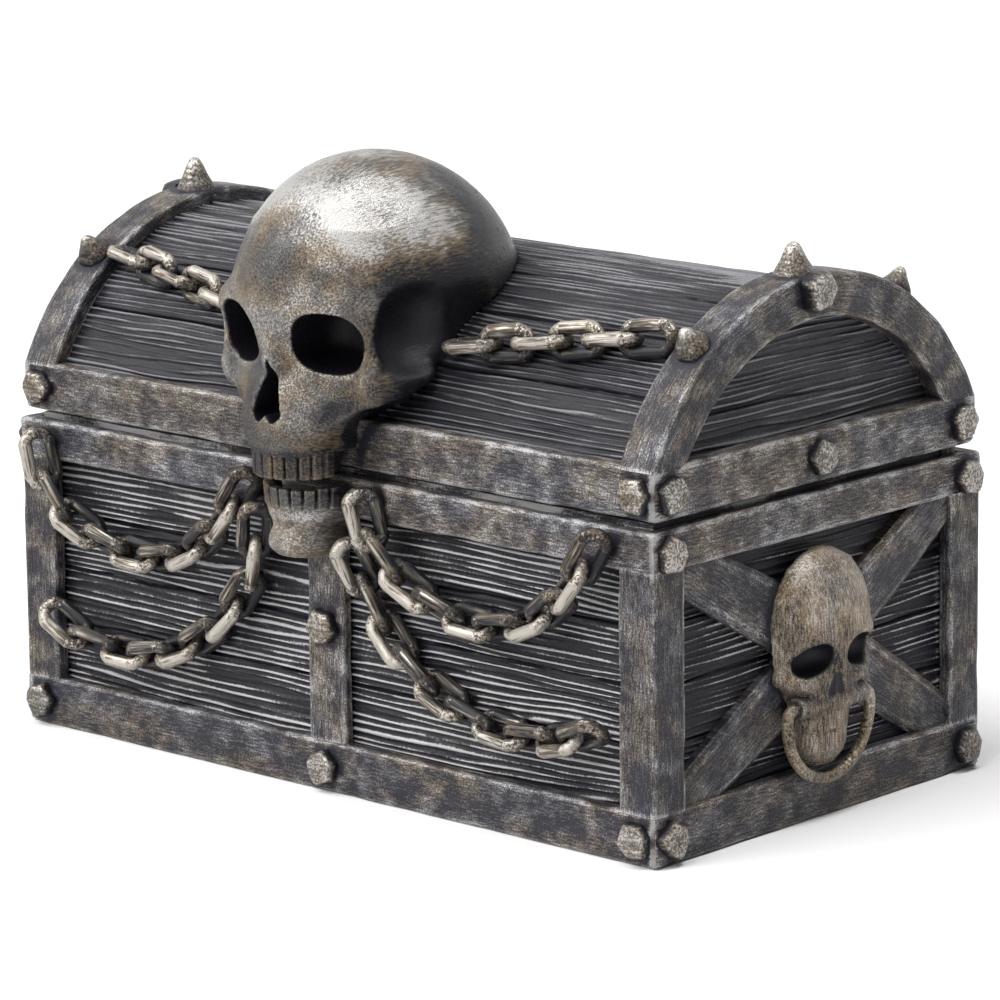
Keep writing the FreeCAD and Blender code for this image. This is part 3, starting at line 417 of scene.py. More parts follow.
def rounded_profile(corners, radius, step):
    """Points and outward normals round a polygon whose convex corners are rounded."""
    corners = np.asarray(corners, float)
    points, normals = [], []
    for i, corner in enumerate(corners):
        before = corner - corners[i - 1]
        after = corners[(i + 1) % len(corners)] - corner
        before_length, after_length = np.linalg.norm(before), np.linalg.norm(after)
        before, after = before / before_length, after / after_length
        out_before = np.array([before[1], -before[0]])
        out_after = np.array([after[1], -after[0]])
        convex = before[0] * after[1] - before[1] * after[0] > 0
        r = min(radius, before_length / 2, after_length / 2) if convex else 0.0
        if convex:
            centre = corner - before * r - out_before * r
            for share in np.linspace(0, 1, CORNER_POINTS):
                normal = out_before * (1 - share) + out_after * share
                normal /= np.linalg.norm(normal)
                points.append(centre + normal * r)
                normals.append(normal)
        else:
            points.append(corner)
            normals.append((out_before + out_after) / np.linalg.norm(out_before + out_after))
        following = corners[(i + 2) % len(corners)] - corners[(i + 1) % len(corners)]
        next_convex = after[0] * following[1] - after[1] * following[0] > 0
        r_next = min(radius, after_length / 2, np.linalg.norm(following) / 2) if next_convex else 0.0
        run = after_length - r - r_next
        inner = int(round(run / step))
        for share in np.arange(1, inner) / max(inner, 1):
            points.append(corner + after * (r + run * share))
            normals.append(out_after)
    points, normals = np.array(points), np.array(normals)
    around = np.concatenate([[0], np.cumsum(np.linalg.norm(np.diff(points, axis=0), axis=1))])
    return points, normals, around


def worn(profile, along, seed):
    """A profile repeated along a strap, with streaks and dents pressed into it, and its flow."""
    points, normals, around = profile
    u, v = np.meshgrid(along, around, indexing="ij")
    dents = np.minimum(marks("dent", u, v, seed + 8), 0) * SIZE["dent_depth"]
    height = SIZE["streak_depth"] * streaks(u, v, seed) + dents
    return points + normals * height[..., None], flow_of(u, v, seed)


# Timber
def plank_height(u, v, edges, seed):
    """Height and ridges of the grain on each plank, with a groove at each edge between planks."""
    plank = np.searchsorted(edges, v)
    height = np.zeros(u.shape)
    ridge = np.zeros(u.shape)
    for number in range(len(edges) + 1):
        mine = plank == number
        level = SIZE["plank_level"] * lattice(number, seed, 3, 7)
        ridge[mine] = grain(u[mine], v[mine] + PLANK_SHIFT * number, seed + PLANK_SEEDS * number)
        height[mine] = SIZE["grain_depth"] * (ridge[mine] - 1) + level
    for edge in edges:
        wander = SIZE["seam_wander"] * noise(u / SEAM_RUN, edge, 0.0, seed + 21)
        groove = np.clip(1 - np.abs(v - edge - wander) / SIZE["seam_width"], 0, 1)
        height -= SIZE["seam_depth"] * groove ** 1.5
        ridge = ridge - groove
    return height, ridge, flow_of(u, v, seed)


def inner_edges(low, high, count):
    """The edges between a number of equal planks."""
    return low + (high - low) * np.arange(1, count) / count


def planked(shape, outer, back, flow, ridge):
    """Adds a plate whose shown face takes paint on its ridges, and whose plain inside takes little."""
    inside = np.full(back[..., 0].size, INSIDE_RAISED_SHARE)
    shape.add(*slab(outer, back), flow=flow, raised=np.concatenate([ridge.ravel(), inside]))


def flat_panel(shape, corner, along, outward, lengths, edges, seed, fine, hold):
    """A planked wall: corner is its low left, and fine is its shown span. hold is how well it takes paint."""
    length, rise = lengths
    u = steps(0.0, length, SIZE["along_step"])
    v = np.unique(np.concatenate([[0.0, rise], steps(*fine, SIZE["across_step"])]))
    uu, vv = np.meshgrid(u, v, indexing="ij")
    height, ridge, flow = plank_height(uu, vv, edges, seed)
    flat = corner + uu[..., None] * along + vv[..., None] * np.array([0, 0, 1])
    outer = flat + height[..., None] * outward
    back = flat[[0, -1]] - outward * SIZE["wall"]
    planked(shape, outer, back, flow, ridge * hold)


def base_planks():
    shape = Shape()
    rim, lip, wall = SIZE["rim"], SIZE["lip"], SIZE["wall"]
    low, high = foot_high[2], rail_low[2]
    edges = inner_edges(low, high, BASE_PLANKS)
    fine = (low - SIZE["tuck"], high + SIZE["tuck"])
    x, y, top = base_high
    inner_x, inner_y = x - wall, y - wall
    right, back = np.eye(3)[:2]
    walls = [
        ((-x, -y, 0), right, -back, x, 1.0),
        ((x, y, 0), -right, back, x, 1.0),
        ((x, -inner_y, 0), back, right, inner_y, END_HOLD_SHARE),
        ((-x, inner_y, 0), -back, -right, inner_y, END_HOLD_SHARE),
    ]
    for seed, (corner, along, outward, half, hold) in enumerate(walls, 1):
        flat_panel(shape, np.array(corner), along, outward, (2 * half, rim), edges, seed, fine, hold)
    floor_u = steps(-inner_x, inner_x, SIZE["floor_along_step"])
    floor_v = steps(-inner_y, inner_y, SIZE["floor_across_step"])
    uu, vv = np.meshgrid(floor_u, floor_v, indexing="ij")
    level = SIZE["floor"] + SIZE["floor_relief"] * marks("floor", uu, vv, 5, 3)
    shown = np.stack([uu, vv, level], axis=-1)
    under = np.stack([uu, vv, np.zeros_like(uu)], axis=-1)[[0, -1]]
    shape.add(*slab(shown, under), raised=np.full(uu.shape, FLOOR_RAISED_SHARE))
    foot = rim - SIZE["lip_sink"]
    corners = [(0, foot), (lip, foot), (lip, top), (0, top)]
    profile = rounded_profile(corners, SIZE["lip_round"], SIZE["lip_step"])
    ring_band(shape, profile, (inner_x, inner_y), 6, SIZE["lip_corner"])
    return shape


def ring_band(shape, profile, hole, seed, corner_round):
    """A strap ring round a rectangle: the profile is out from the hole, and up."""
    hole_x, hole_y = hole[:2]
    sides = [
        (hole_x, (1, 0), (0, -1)),
        (hole_y, (0, 1), (1, 0)),
        (hole_x, (-1, 0), (0, 1)),
        (hole_y, (0, -1), (-1, 0)),
    ]
    rings, flows = [], []
    for number, (half, along, outward) in enumerate(sides):
        t = steps(-1.0, 1.0, SIZE["strap_step"] / half)
        stations, flow = worn(profile, t * half + SIDE_SHIFT * number, seed + number)
        out, up = stations[..., 0], stations[..., 1]
        reach = (half + out) * t[:, None]
        across = (hole_y if number % 2 == 0 else hole_x) + out
        x = along[0] * reach + outward[0] * across
        y = along[1] * reach + outward[1] * across
        x, y = soften_corner(x, y, hole_x + out, hole_y + out, np.minimum(out, corner_round))
        rings.append(np.stack([x, y, up], axis=-1)[:-1])
        flows.append(flow[:-1])
    shape.add(*sweep(np.concatenate(rings), closed=True), flow=np.concatenate(flows))


def soften_corner(x, y, edge_x, edge_y, radius):
    """Rounds the upright corner of a ring of straps."""
    radius = np.maximum(radius, 1e-6)
    a = np.abs(x) - (edge_x - radius)
    b = np.abs(y) - (edge_y - radius)
    inside = (a > 0) & (b > 0)
    scale = np.where(inside, radius / np.maximum(np.hypot(a, b), 1e-9), 1.0)
    new_x = np.where(inside, np.sign(x) * (edge_x - radius + a * scale), x)
    new_y = np.where(inside, np.sign(y) * (edge_y - radius + b * scale), y)
    return new_x, new_y


def band(low, high, hole, seed):
    stand = high[0] - hole[0]
    corners = [(0, low[2]), (stand, low[2]), (stand, high[2]), (0, high[2])]
    shape = Shape()
    profile = rounded_profile(corners, SIZE["strap_round"], SIZE["profile_step"])
    ring_band(shape, profile, hole, seed, SIZE["strap_corner"])
    return shape


def upright(corners, low, high, seed):
    """A strap that stands: its plan outline, from low to high, tucked in at both ends."""
    profile = rounded_profile(corners, SIZE["strap_round"], SIZE["profile_step"])
    z = steps(low - SIZE["post_tuck"], high + SIZE["post_tuck"], SIZE["strap_step"])
    plan, flow = worn(profile, z, seed)
    rings = np.concatenate([plan, np.broadcast_to(z[:, None, None], plan.shape[:2] + (1,))], axis=-1)
    return Shape().add(*sweep(rings), flow=flow)


def corner_post(side_x, side_y, seed):
    x, y = rail_high[:2]
    leg = post_high[0] - post_low[0]
    in_x, in_y = x - strap_stand, y - strap_stand
    corners = [(x, y), (x - leg, y), (x - leg, in_y), (in_x, in_y), (in_x, y - leg), (x, y - leg)]
    corners = [(a * side_x, b * side_y) for a, b in corners]
    if side_x * side_y < 0:
        corners = corners[::-1]
    return upright(corners, post_low[2], post_high[2], seed)


def centre_strap(node, seed):
    low, high = box(node)
    corners = [(low[0], low[1]), (high[0], low[1]), (high[0], high[1]), (low[0], high[1])]
    return upright(corners, low[2], high[2], seed)


# Lid
def barrel_point(x, angle, radius):
    return np.stack([x, -np.sin(angle) * radius, arch_z + np.cos(angle) * radius], axis=-1)


def arch_spread(radius):
    """The angle at which an arch of this radius goes down behind the rim's strap."""
    return math.acos((rim_high[2] - SIZE["tuck"] - arch_z) / radius)


def lid_planks():
    shape = Shape()
    x, wall = lid_high[0], SIZE["wall"]
    arc = arch_spread(barrel_radius) * barrel_radius
    u = steps(-x, x, SIZE["along_step"])
    v = steps(-arc, arc, SIZE["across_step"])
    uu, vv = np.meshgrid(u, v, indexing="ij")
    height, ridge, flow = plank_height(uu, vv, inner_edges(-arc, arc, LID_PLANKS), 40)
    angle = vv / barrel_radius
    outer = barrel_point(uu, angle, barrel_radius + height)
    back = barrel_point(uu, angle, barrel_radius - wall)[[0, -1]]
    planked(shape, outer, back, flow, ridge)
    for side in (-1, 1):
        lunette(shape, side)
    corners = [(-wall, lid_low[2]), (0, lid_low[2]), (0, rim_high[2]), (-wall, rim_high[2])]
    profile = rounded_profile(corners, SIZE["wall_round"], SIZE["wall_step"])
    ring_band(shape, profile, (x, lid_high[1]), 45, 0.0)
    return shape


def lunette(shape, side):
    """The planked end under the arch."""
    inset = SIZE["lunette_inset"]
    reach = barrel_radius - SIZE["arch_tuck"]
    half = lid_high[1] - inset
    low = rim_high[2] - SIZE["arch_tuck"]
    u = steps(-half, half, SIZE["lunette_step"])
    share = np.linspace(0, 1, int(arch_rise / SIZE["across_step"]))
    uu, ss = np.meshgrid(u, share, indexing="ij")
    top = arch_z + np.sqrt(reach ** 2 - uu ** 2)
    zz = low + ss * (np.maximum(top, low + inset) - low)
    height, ridge, flow = plank_height(uu, zz, inner_edges(low, hoop_high[2], LUNETTE_PLANKS), 50 + side)
    outer = np.stack([(lid_high[0] + height) * side, uu, zz], axis=-1)
    inside = np.full_like(uu, (lid_high[0] - SIZE["wall"]) * side)
    back = np.stack([inside, uu, zz], axis=-1)[[0, -1]]
    planked(shape, outer, back, flow, ridge)


def lid_hoop(side, seed):
    face_radius = hoop_radius - SIZE["hoop_face"]
    under = barrel_radius - SIZE["arch_tuck"]
    end = lid_high[0] - SIZE["arch_tuck"]
    inside, outside = hoop_low[0], hoop_high[0]
    corners = [
        (inside, under),
        (end, under),
        (end, face_radius),
        (outside, face_radius),
        (outside, hoop_radius),
        (inside, hoop_radius),
    ]
    profile = rounded_profile(corners, SIZE["strap_round"], SIZE["profile_step"])
    spread = arch_spread(hoop_radius)
    angle = steps(-spread, spread, SIZE["strap_step"] / hoop_radius)
    section, flow = worn(profile, angle * hoop_radius, seed)
    rings = barrel_point(section[..., 0] * side, angle[:, None], section[..., 1])
    rings[..., 2] = np.maximum(rings[..., 2], rim_high[2] - SIZE["tuck"])
    return Shape().add(*sweep(rings), flow=flow)


# Fasteners and links, placed where the frame has them
def islands(node):
    """The points of each separate solid of a node."""
    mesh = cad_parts[node].data
    points = np.empty(len(mesh.vertices) * 3)
    mesh.vertices.foreach_get("co", points)
    points = points.reshape(-1, 3) / MM
    _, place = np.unique(np.round(points, 3), axis=0, return_inverse=True)
    place = place.ravel()
    ends = np.empty(len(mesh.edges) * 2, np.int32)
    mesh.edges.foreach_get("vertices", ends)
    a, b = place[ends[0::2]], place[ends[1::2]]
    label = np.arange(place.max() + 1)
    while True:
        lowest = label.copy()
        np.minimum.at(lowest, a, label[b])
        np.minimum.at(lowest, b, label[a])
        lowest = lowest[lowest]
        if np.array_equal(lowest, label):
            break
        label = lowest
    return [points[label[place] == number] for number in np.unique(label)]


def axes_of(points):
    """Centre and principal directions, longest first."""
    low, high = points.min(0), points.max(0)
    centre = (low + high) / 2
    _, vectors = np.linalg.eigh(np.cov((points - points.mean(0)).T))
    return centre, vectors[:, ::-1].T


# Links: the points of their meshes, how rough they are and how they take paint
LINK_SEED = 300
LINK_POINTS = 64
WIRE_POINTS = 16
LUMP = {"run": 1.9, "swell": 1.08, "depth": 0.20}
LINK_PAINT_SHARES = {"held": 0.95, "mean": 0.42, "rise": 0.62}


def chain(node, outward, shaded):
    """Rough cast links. Paint takes on the strand that stands out, and links whose outer strand faces down
    are lighter.

    shaded is the share of that lightness that the other links keep.
    """
    shape = Shape()
    width, wire = SIZE["link_width"], SIZE["wire"]
    bend = (width - wire) / 2
    straight = SIZE["link_length"] - width
    turn = np.linspace(0, 2 * math.pi, LINK_POINTS, endpoint=False)
    out = np.stack([np.cos(turn), np.sin(turn), np.zeros_like(turn)], axis=1)
    spine = out * bend
    spine[:, 0] += np.where(np.cos(turn) >= 0, straight / 2, -straight / 2)
    around = np.linspace(0, 2 * math.pi, WIRE_POINTS, endpoint=False)[:, None]
    ring_out = np.cos(around) * out[:, None] + np.sin(around) * np.array([0, 0, 1.0])
    for number, points in enumerate(islands(node)):
        centre, axes = axes_of(points)
        toward = outward(points)
        toward = toward / np.linalg.norm(toward)
        seed = LINK_SEED + 7 * number + len(node)
        x, y, z = np.moveaxis(spine[:, None] + ring_out * wire / 2, -1, 0) / LUMP["run"]
        radius = wire / 2 * (LUMP["swell"] + LUMP["depth"] * layered(x, y, z + seed, seed, 3))
        placed = centre + (spine[:, None] + ring_out * radius[..., None]) @ axes
        rise = (placed - centre) @ toward / (width / 2)
        outer_strand = axes[1] * np.sign(axes[1] @ toward)
        held = LINK_PAINT_SHARES["held"] if outer_strand[2] < 0 else shaded
        raised = held * np.clip(LINK_PAINT_SHARES["mean"] + LINK_PAINT_SHARES["rise"] * rise, 0, 1)
        flow = flow_of(turn[:, None] * bend * 2, around[:, 0] * wire / 2, seed)
        shape.add(*sweep(placed, closed=True), flow=flow, raised=raised)
    return shape


# Outlines of the heads, as shares of half their width and of their height
SPIKE_PROFILE_SHARES = [
    (1.0, 0.0),
    (1.0, 0.12),
    (0.93, 0.24),
    (0.72, 0.46),
    (0.56, 0.62),
    (0.45, 0.76),
    (0.36, 0.87),
    (0.24, 0.96),
    (0.10, 1.0),
]
NAIL_PROFILE_SHARES = [
    (1.0, 0.0),
    (1.02, 0.25),
    (1.0, 0.5),
    (0.95, 0.74),
    (0.86, 0.90),
    (0.70, 0.97),
    (0.40, 1.0),
    (0.15, 1.0),
]
HEAD_SEED = 500
HEAD_POINTS = 40
FACETS = 6
FACET_SHARES = {"lean": 0.35, "flat": 0.93, "corner": 1.12, "rough": 0.03, "spike": 0.4}
CROWN_SHARES = {"bump": 0.06, "from": 0.45, "spread": 2.4}
HEAD_PAINT_SHARES = {"seat": 0.03, "spike": 0.92, "nail": 0.82}
SPIKE_FADE, NAIL_FADE = 0.6, 2
ANY_SIDE = (0.31, 0.57, 0.76)


def facet_outline(turn, seed):
    """A hammered outline of uneven flats, as a share of the head's radius."""
    nearest = 0.0
    for number in range(FACETS):
        lean = number + FACET_SHARES["lean"] * lattice(number, seed, 1, 3)
        nearest = np.maximum(nearest, np.cos(turn - 2 * math.pi * lean / FACETS))
    outline = np.minimum(FACET_SHARES["flat"] / nearest, FACET_SHARES["corner"])
    return outline * (1 + FACET_SHARES["rough"] * noise(np.cos(turn) * 2, np.sin(turn) * 2, seed, seed))


def nail_head(points, toward, seed, pointed):
    """A rough hammered head in place of the frame's: rings from the seat up to the crown."""
    toward = toward / np.linalg.norm(toward)
    side = np.cross(toward, ANY_SIDE)
    side /= np.linalg.norm(side)
    other = np.cross(toward, side)
    local = np.stack([points @ side, points @ other, points @ toward], axis=1)
    low, high = local.min(0), local.max(0)
    centre = (low[:2] + high[:2]) / 2
    across = (high[:2] - low[:2]).mean() / 2
    height = high[2] - low[2]
    turn = np.linspace(0, 2 * math.pi, HEAD_POINTS, endpoint=False)
    outline = facet_outline(turn, seed)
    profile, most, fade = NAIL_PROFILE_SHARES, HEAD_PAINT_SHARES["nail"], NAIL_FADE
    if pointed:
        profile, most, fade = SPIKE_PROFILE_SHARES, HEAD_PAINT_SHARES["spike"], SPIKE_FADE
        outline = 1 + FACET_SHARES["spike"] * (outline - 1)
    rings, raised = [], []
    for share, rise in [(1.0, -SIZE["head_sink"] / height)] + profile:
        x, y = np.cos(turn) * share, np.sin(turn) * share
        rough = noise(x * CROWN_SHARES["spread"], y * CROWN_SHARES["spread"], seed, seed + 1)
        bump = CROWN_SHARES["bump"] * rough * (rise > CROWN_SHARES["from"])
        a, b = centre[0] + across * outline * x, centre[1] + across * outline * y
        up = low[2] + height * (rise + bump)
        rings.append(a[:, None] * side + b[:, None] * other + up[:, None] * toward)
        raised.append(np.full(len(turn), HEAD_PAINT_SHARES["seat"] + most * max(rise, 0.0) ** fade))
    return sweep(np.array(rings)), np.concatenate(raised)


def heads(node, outward, pointed_if=None):
    shape = Shape()
    for number, points in enumerate(islands(node)):
        toward = outward(points)
        pointed = bool(pointed_if and pointed_if(points))
        form, raised = nail_head(points, toward, HEAD_SEED + number, pointed)
        shape.add(*form, raised=raised)
    return shape


def face_outward(half_x, half_y):
    """Which wall a head stands on."""
    def outward(points):
        centre = (points.min(0) + points.max(0)) / 2
        if abs(centre[0]) - half_x > abs(centre[1]) - half_y:
            return np.array([np.sign(centre[0]), 0, 0])
        return np.array([0, np.sign(centre[1]), 0])
    return outward


def arch_outward(points):
    centre = (points.min(0) + points.max(0)) / 2
    return np.array([0, centre[1], centre[2] - arch_z])


def on_end(points):
    return np.abs(points[:, 0]).max() > rim_high[0] + SIZE["end_stand"]


def stud_outward(points):
    if on_end(points):
        return np.array([np.sign(points[:, 0].mean()), 0, 0])
    return arch_outward(points)


# Bone
ROW_SLOPE_SHARE = 0.9
TOOTH_SHARES = {"round": 0.45, "wobble": 0.25, "shift": 0.5, "stretch": 0.3}


class Field:
    """Signed distances on a grid, built up with soft unions and cuts."""

    def __init__(self, low, high, voxel):
        self.low, self.voxel = np.asarray(low, float), voxel
        axes = [np.arange(a, b + voxel, voxel, dtype=np.float32) for a, b in zip(low, high)]
        self.x, self.y, self.z = np.meshgrid(*axes, indexing="ij")
        self.side = np.abs(self.x)
        self.value = np.full(self.x.shape, 10.0, np.float32)
        self.hollow = np.zeros(self.x.shape, np.float32)

    def sample(self, points, values):
        at = np.round((points - self.low) / self.voxel).astype(int)
        at = np.clip(at, 0, np.array(values.shape) - 1)
        return values[at[:, 0], at[:, 1], at[:, 2]]

    def join(self, other, blend):
        self.value = soft_min(self.value, other, blend)

    def cut(self, other, blend, shade_depth=None):
        """Takes the other form away. Painted shade and dark wash fill the cut, and are full at shade_depth
        below the surface it had.
        """
        if shade_depth:
            depth = np.clip(-self.value / shade_depth, 0, 1)
            self.hollow = np.maximum(self.hollow, depth * (other < blend))
        self.value = -soft_min(-self.value, other, blend)

    def build(self, joins, cuts):
        for form in joins.values():
            self.join(form.made(self, *form.sizes, **form.turns), form.blend)
        for form in cuts.values():
            self.cut(form.made(self, *form.sizes, **form.turns), form.blend, form.shade_depth)

    def mesh(self):
        clamp = 4 * self.voxel
        grid = openvdb.FloatGrid(clamp)
        grid.copyFromArray(np.clip(self.value, -clamp, clamp))
        points, quads = grid.convertToQuads(0.0)
        return np.asarray(points) * self.voxel + self.low, np.asarray(quads)

    def ellipsoid(self, centre, semi, yaw=0.0, pitch=0.0, roll=0.0, power=2.0):
        """yaw turns about Z, pitch about X and roll about Y, in degrees."""
        a, b, c = (math.radians(angle) for angle in (yaw, pitch, roll))
        x, y, z = self.side - centre[0], self.y - centre[1], self.z - centre[2]
        x, y = x * math.cos(a) + y * math.sin(a), y * math.cos(a) - x * math.sin(a)
        y, z = y * math.cos(b) + z * math.sin(b), z * math.cos(b) - y * math.sin(b)
        x, z = x * math.cos(c) - z * math.sin(c), z * math.cos(c) + x * math.sin(c)
        if power == 2.0:
            near = np.sqrt((x / semi[0]) ** 2 + (y / semi[1]) ** 2 + (z / semi[2]) ** 2) + 1e-6
            slopes = (axis / size ** 2 for axis, size in zip((x, y, z), semi))
            slope = np.sqrt(sum(axis ** 2 for axis in slopes)) + 1e-6
            return near * (near - 1) / slope
        total = sum(np.abs(axis / size) ** power for axis, size in zip((x, y, z), semi))
        return (total ** (1 / power) - 1) * min(semi)

    def bone(self, start, end, start_radius, end_radius):
        """A rounded bar that tapers from start to end."""
        start, end = np.asarray(start, float), np.asarray(end, float)
        run = end - start
        dx, dy, dz = self.side - start[0], self.y - start[1], self.z - start[2]
        share = np.clip((dx * run[0] + dy * run[1] + dz * run[2]) / (run @ run), 0, 1)
        gap = np.sqrt(sum((axis - share * part) ** 2 for axis, part in zip((dx, dy, dz), run)))
        return gap - (start_radius + (end_radius - start_radius) * share)

    def rows(self, table, back, power):
        """A face built of rows: height, half width and front."""
        heights, halves, fronts = (np.array(column, np.float32) for column in zip(*table))
        half = ease_between(self.z, heights, halves)
        depth = back - ease_between(self.z, heights, fronts)
        total = np.abs(self.side / half) ** power + (np.maximum(back - self.y, 0) / depth) ** power
        sides = (total ** (1 / power) - 1) * np.minimum(half, depth) * ROW_SLOPE_SHARE
        ends = np.maximum(heights[0] - self.z, self.z - heights[-1])
        return np.maximum(np.maximum(sides, ends), self.y - back)

    def tooth(self, at, turn, size, splay):
        """A rounded block that leans out at its top by splay."""
        a = math.radians(turn)
        dx, dy, dz = self.x - at[0], self.y - at[1], self.z - at[2]
        x, y = dx * math.cos(a) + dy * math.sin(a), dy * math.cos(a) - dx * math.sin(a)
        y = y + splay * dz
        round_off = TOOTH_SHARES["round"] * min(size)
        q = [np.abs(axis) - half + round_off for axis, half in zip((x, y, dz), size)]
        outside = np.sqrt(sum(np.maximum(axis, 0) ** 2 for axis in q))
        return outside + np.minimum(np.maximum(np.maximum(q[0], q[1]), q[2]), 0) - round_off


def soft_min(a, b, blend):
    near = np.maximum(blend - np.abs(a - b), 0) / blend
    return np.minimum(a, b) - near * near * blend / 4


def ease_between(x, places, values):
    """Values eased smoothly from row to row."""
    number = np.clip(np.searchsorted(places, x) - 1, 0, len(places) - 2)
    share = np.clip((x - places[number]) / (places[number + 1] - places[number]), 0, 1)
    slopes = np.gradient(values, places)
    run = places[number + 1] - places[number]
    h00 = 2 * share ** 3 - 3 * share ** 2 + 1
    h10 = share ** 3 - 2 * share ** 2 + share
    return (
        h00 * values[number]
        + h10 * run * slopes[number]
        + (1 - h00) * values[number + 1]
        + (share ** 3 - share ** 2) * run * slopes[number + 1]
    )


def teeth_row(field, centre, radius, count, fan, low, high, size, splay, blend):
    """Teeth round an arch, over an angle of fan to each side, with small differences in height."""
    for number in range(count):
        turn = -fan + 2 * fan * number / (count - 1)
        wobble = TOOTH_SHARES["wobble"] * lattice(number, count, 5, 9)
        a = math.radians(turn)
        middle = (low + high) / 2 + TOOTH_SHARES["shift"] * wobble
        at = (centre[0] + radius * math.sin(a), centre[1] - radius * math.cos(a), middle)
        tall = (high - low) / 2 * (1 + TOOTH_SHARES["stretch"] * wobble)
        field.join(field.tooth(at, turn, (*size, tall), splay), blend)


class Form(NamedTuple):
    """One form of a bone: how Field makes it, from which sizes, how it joins or cuts, and at which depth
    painted shade in a cut is full.
    """

    made: callable
    sizes: tuple
    blend: float
    shade_depth: float
    turns: dict


def ball(centre, semi, blend, shade_depth=None, **turns):
    return Form(Field.ellipsoid, (centre, semi), blend, shade_depth, turns)


def bar(start, end, radii, blend, shade_depth=None):
    return Form(Field.bone, (start, end, *radii), blend, shade_depth, {})


def face(rows, back, power, blend):
    return Form(Field.rows, (rows, back, power), blend, None, {})


# The big skull: rows of height, half width and front, and the forms that join or cut them
SKULL_BOX = ((-22.5, -59.5, 55.0), (22.5, 5.0, 111.0))
SKULL_ROWS = [
    (61.2, 8.2, -54.8),
    (62.5, 9.2, -55.6),
    (64.5, 10.4, -55.4),
    (66.6, 12.2, -54.4),
    (68.6, 15.2, -53.2),
    (72.0, 17.4, -51.6),
    (78.0, 17.9, -50.7),
    (83.0, 17.6, -50.8),
    (87.0, 16.7, -51.3),
    (92.0, 14.6, -49.6),
    (97.0, 11.0, -46.0),
]
SKULL_JOINS = {
    "cranium": ball((0, -27, 85), (20.7, 28.4, 24.0), 0.1, pitch=-21),
    "face": face(SKULL_ROWS, -38.0, 2.8, 4.0),
    "upper_jaw": ball((0, -49.0, 68.0), (8.2, 6.6, 8.6), 3.0),
    "nasal_bone": bar((0, -50.4, 83.0), (0, -53.0, 77.2), (2.5, 1.9), 2.5),
    "brow": bar((3.5, -50.8, 86.2), (15.8, -47.0, 84.8), (1.7, 1.9), 4.0),
    "orbit_side": bar((15.6, -46.0, 85.0), (16.2, -46.6, 74.5), (1.7, 1.8), 2.0),
    "cheekbone": bar((16.0, -45.5, 72.4), (19.0, -36.0, 74.8), (2.5, 1.6), 2.5),
}
# The last number of a cut, where given, is the depth at which painted shade and dark wash in it are full
SKULL_CUTS = {
    "temple": ball((23.4, -39.6, 82.4), (8.8, 8.6, 8.2), 1.4, 1.0, power=2.2),
    "behind_temple": ball((25.6, -28.0, 81.0), (6.6, 13.0, 8.0), 3.0),
    "under_cheekbone": ball((17.0, -42.0, 63.5), (8.6, 8.0, 6.4), 1.5, 1.2),
    "cheek_hollow": ball((13.6, -53.2, 68.4), (4.2, 3.4, 3.4), 2.0, 2.6),
    "orbit": ball((9.3, -47.8, 80.7), (6.5, 9.0, 5.4), 0.6, 1.3, yaw=15, roll=5, power=2.6),
}
SKULL_TEETH = {
    "centre": (0, -47.4), "radius": 7.2, "count": 11, "fan": 84, "low": 57.0, "high": 61.9,
    "size": (0.98, 0.9), "splay": 0.04, "blend": 0.25,
}
GUM = {"radius": 6.9, "low": 57.4, "high": 63.0, "blend": 0.6}

# The nose opening: rows of height and half width, with a spine at its foot
NOSE_ROWS = [(66.8, 2.0), (67.8, 3.0), (69.4, 2.8), (72.0, 2.1), (74.4, 1.3), (77.2, 0.1)]
# shade_depth is the depth at which painted shade and dark wash in the opening are full
NOSE = {"back": -48.6, "spine": 1.2, "slope": 0.8, "blend": 0.4, "shade_depth": 0.9}

# Where paint lies on the big skull, as spans of height or depth, and how thick. The crown spans also lay a
# painted highlight on the forehead, and the top spans a painted dark reflection along the top.
CROWN_RISE, CROWN_TOP = (87.0, 100.0), (104.0, 109.0)
CROWN_BACK, CROWN_FRONT = (-14.0, -36.0), (-55.0, -45.0)
FACE_FRONT, FACE_FOOT, TEETH_TOP = (-39.0, -47.0), (78.0, 66.0), (63.0, 61.2)
SKULL_PAINT_AND_LIGHT_SHARES = {"all": 0.12, "face": 0.41, "crown": 0.82, "top": 0.25, "foot": 0.09, "teeth": 0.14}


def nose_field(field):
    """The pear-shaped opening."""
    heights, halves = (np.array(column, np.float32) for column in zip(*NOSE_ROWS))
    sideways = (field.side - ease_between(field.z, heights, halves)) * NOSE["slope"]
    low = heights[0] + np.clip(NOSE["spine"] - field.side, 0, NOSE["spine"])
    ends = np.maximum(low - field.z, field.z - heights[-1])
    return np.maximum(np.maximum(sideways, ends), field.y - NOSE["back"])


def skull_shape():
    field = Field(*SKULL_BOX, SIZE["skull_voxel"])
    field.build(SKULL_JOINS, SKULL_CUTS)
    field.cut(nose_field(field), NOSE["blend"], NOSE["shade_depth"])
    gum = np.hypot(field.x, field.y - SKULL_TEETH["centre"][1]) - GUM["radius"]
    gum = np.maximum(gum, np.maximum(GUM["low"] - field.z, field.z - GUM["high"]))
    field.join(gum, GUM["blend"])
    teeth_row(field, **SKULL_TEETH)
    drum = np.sqrt(field.y ** 2 + (field.z - arch_z) ** 2) - (barrel_radius - SIZE["skull_sink"])
    wall = np.maximum(rim_low[1] - SIZE["skull_seat"] - field.y, field.z - rim_high[2])
    field.value = np.maximum(field.value, -np.minimum(drum, wall))
    return field


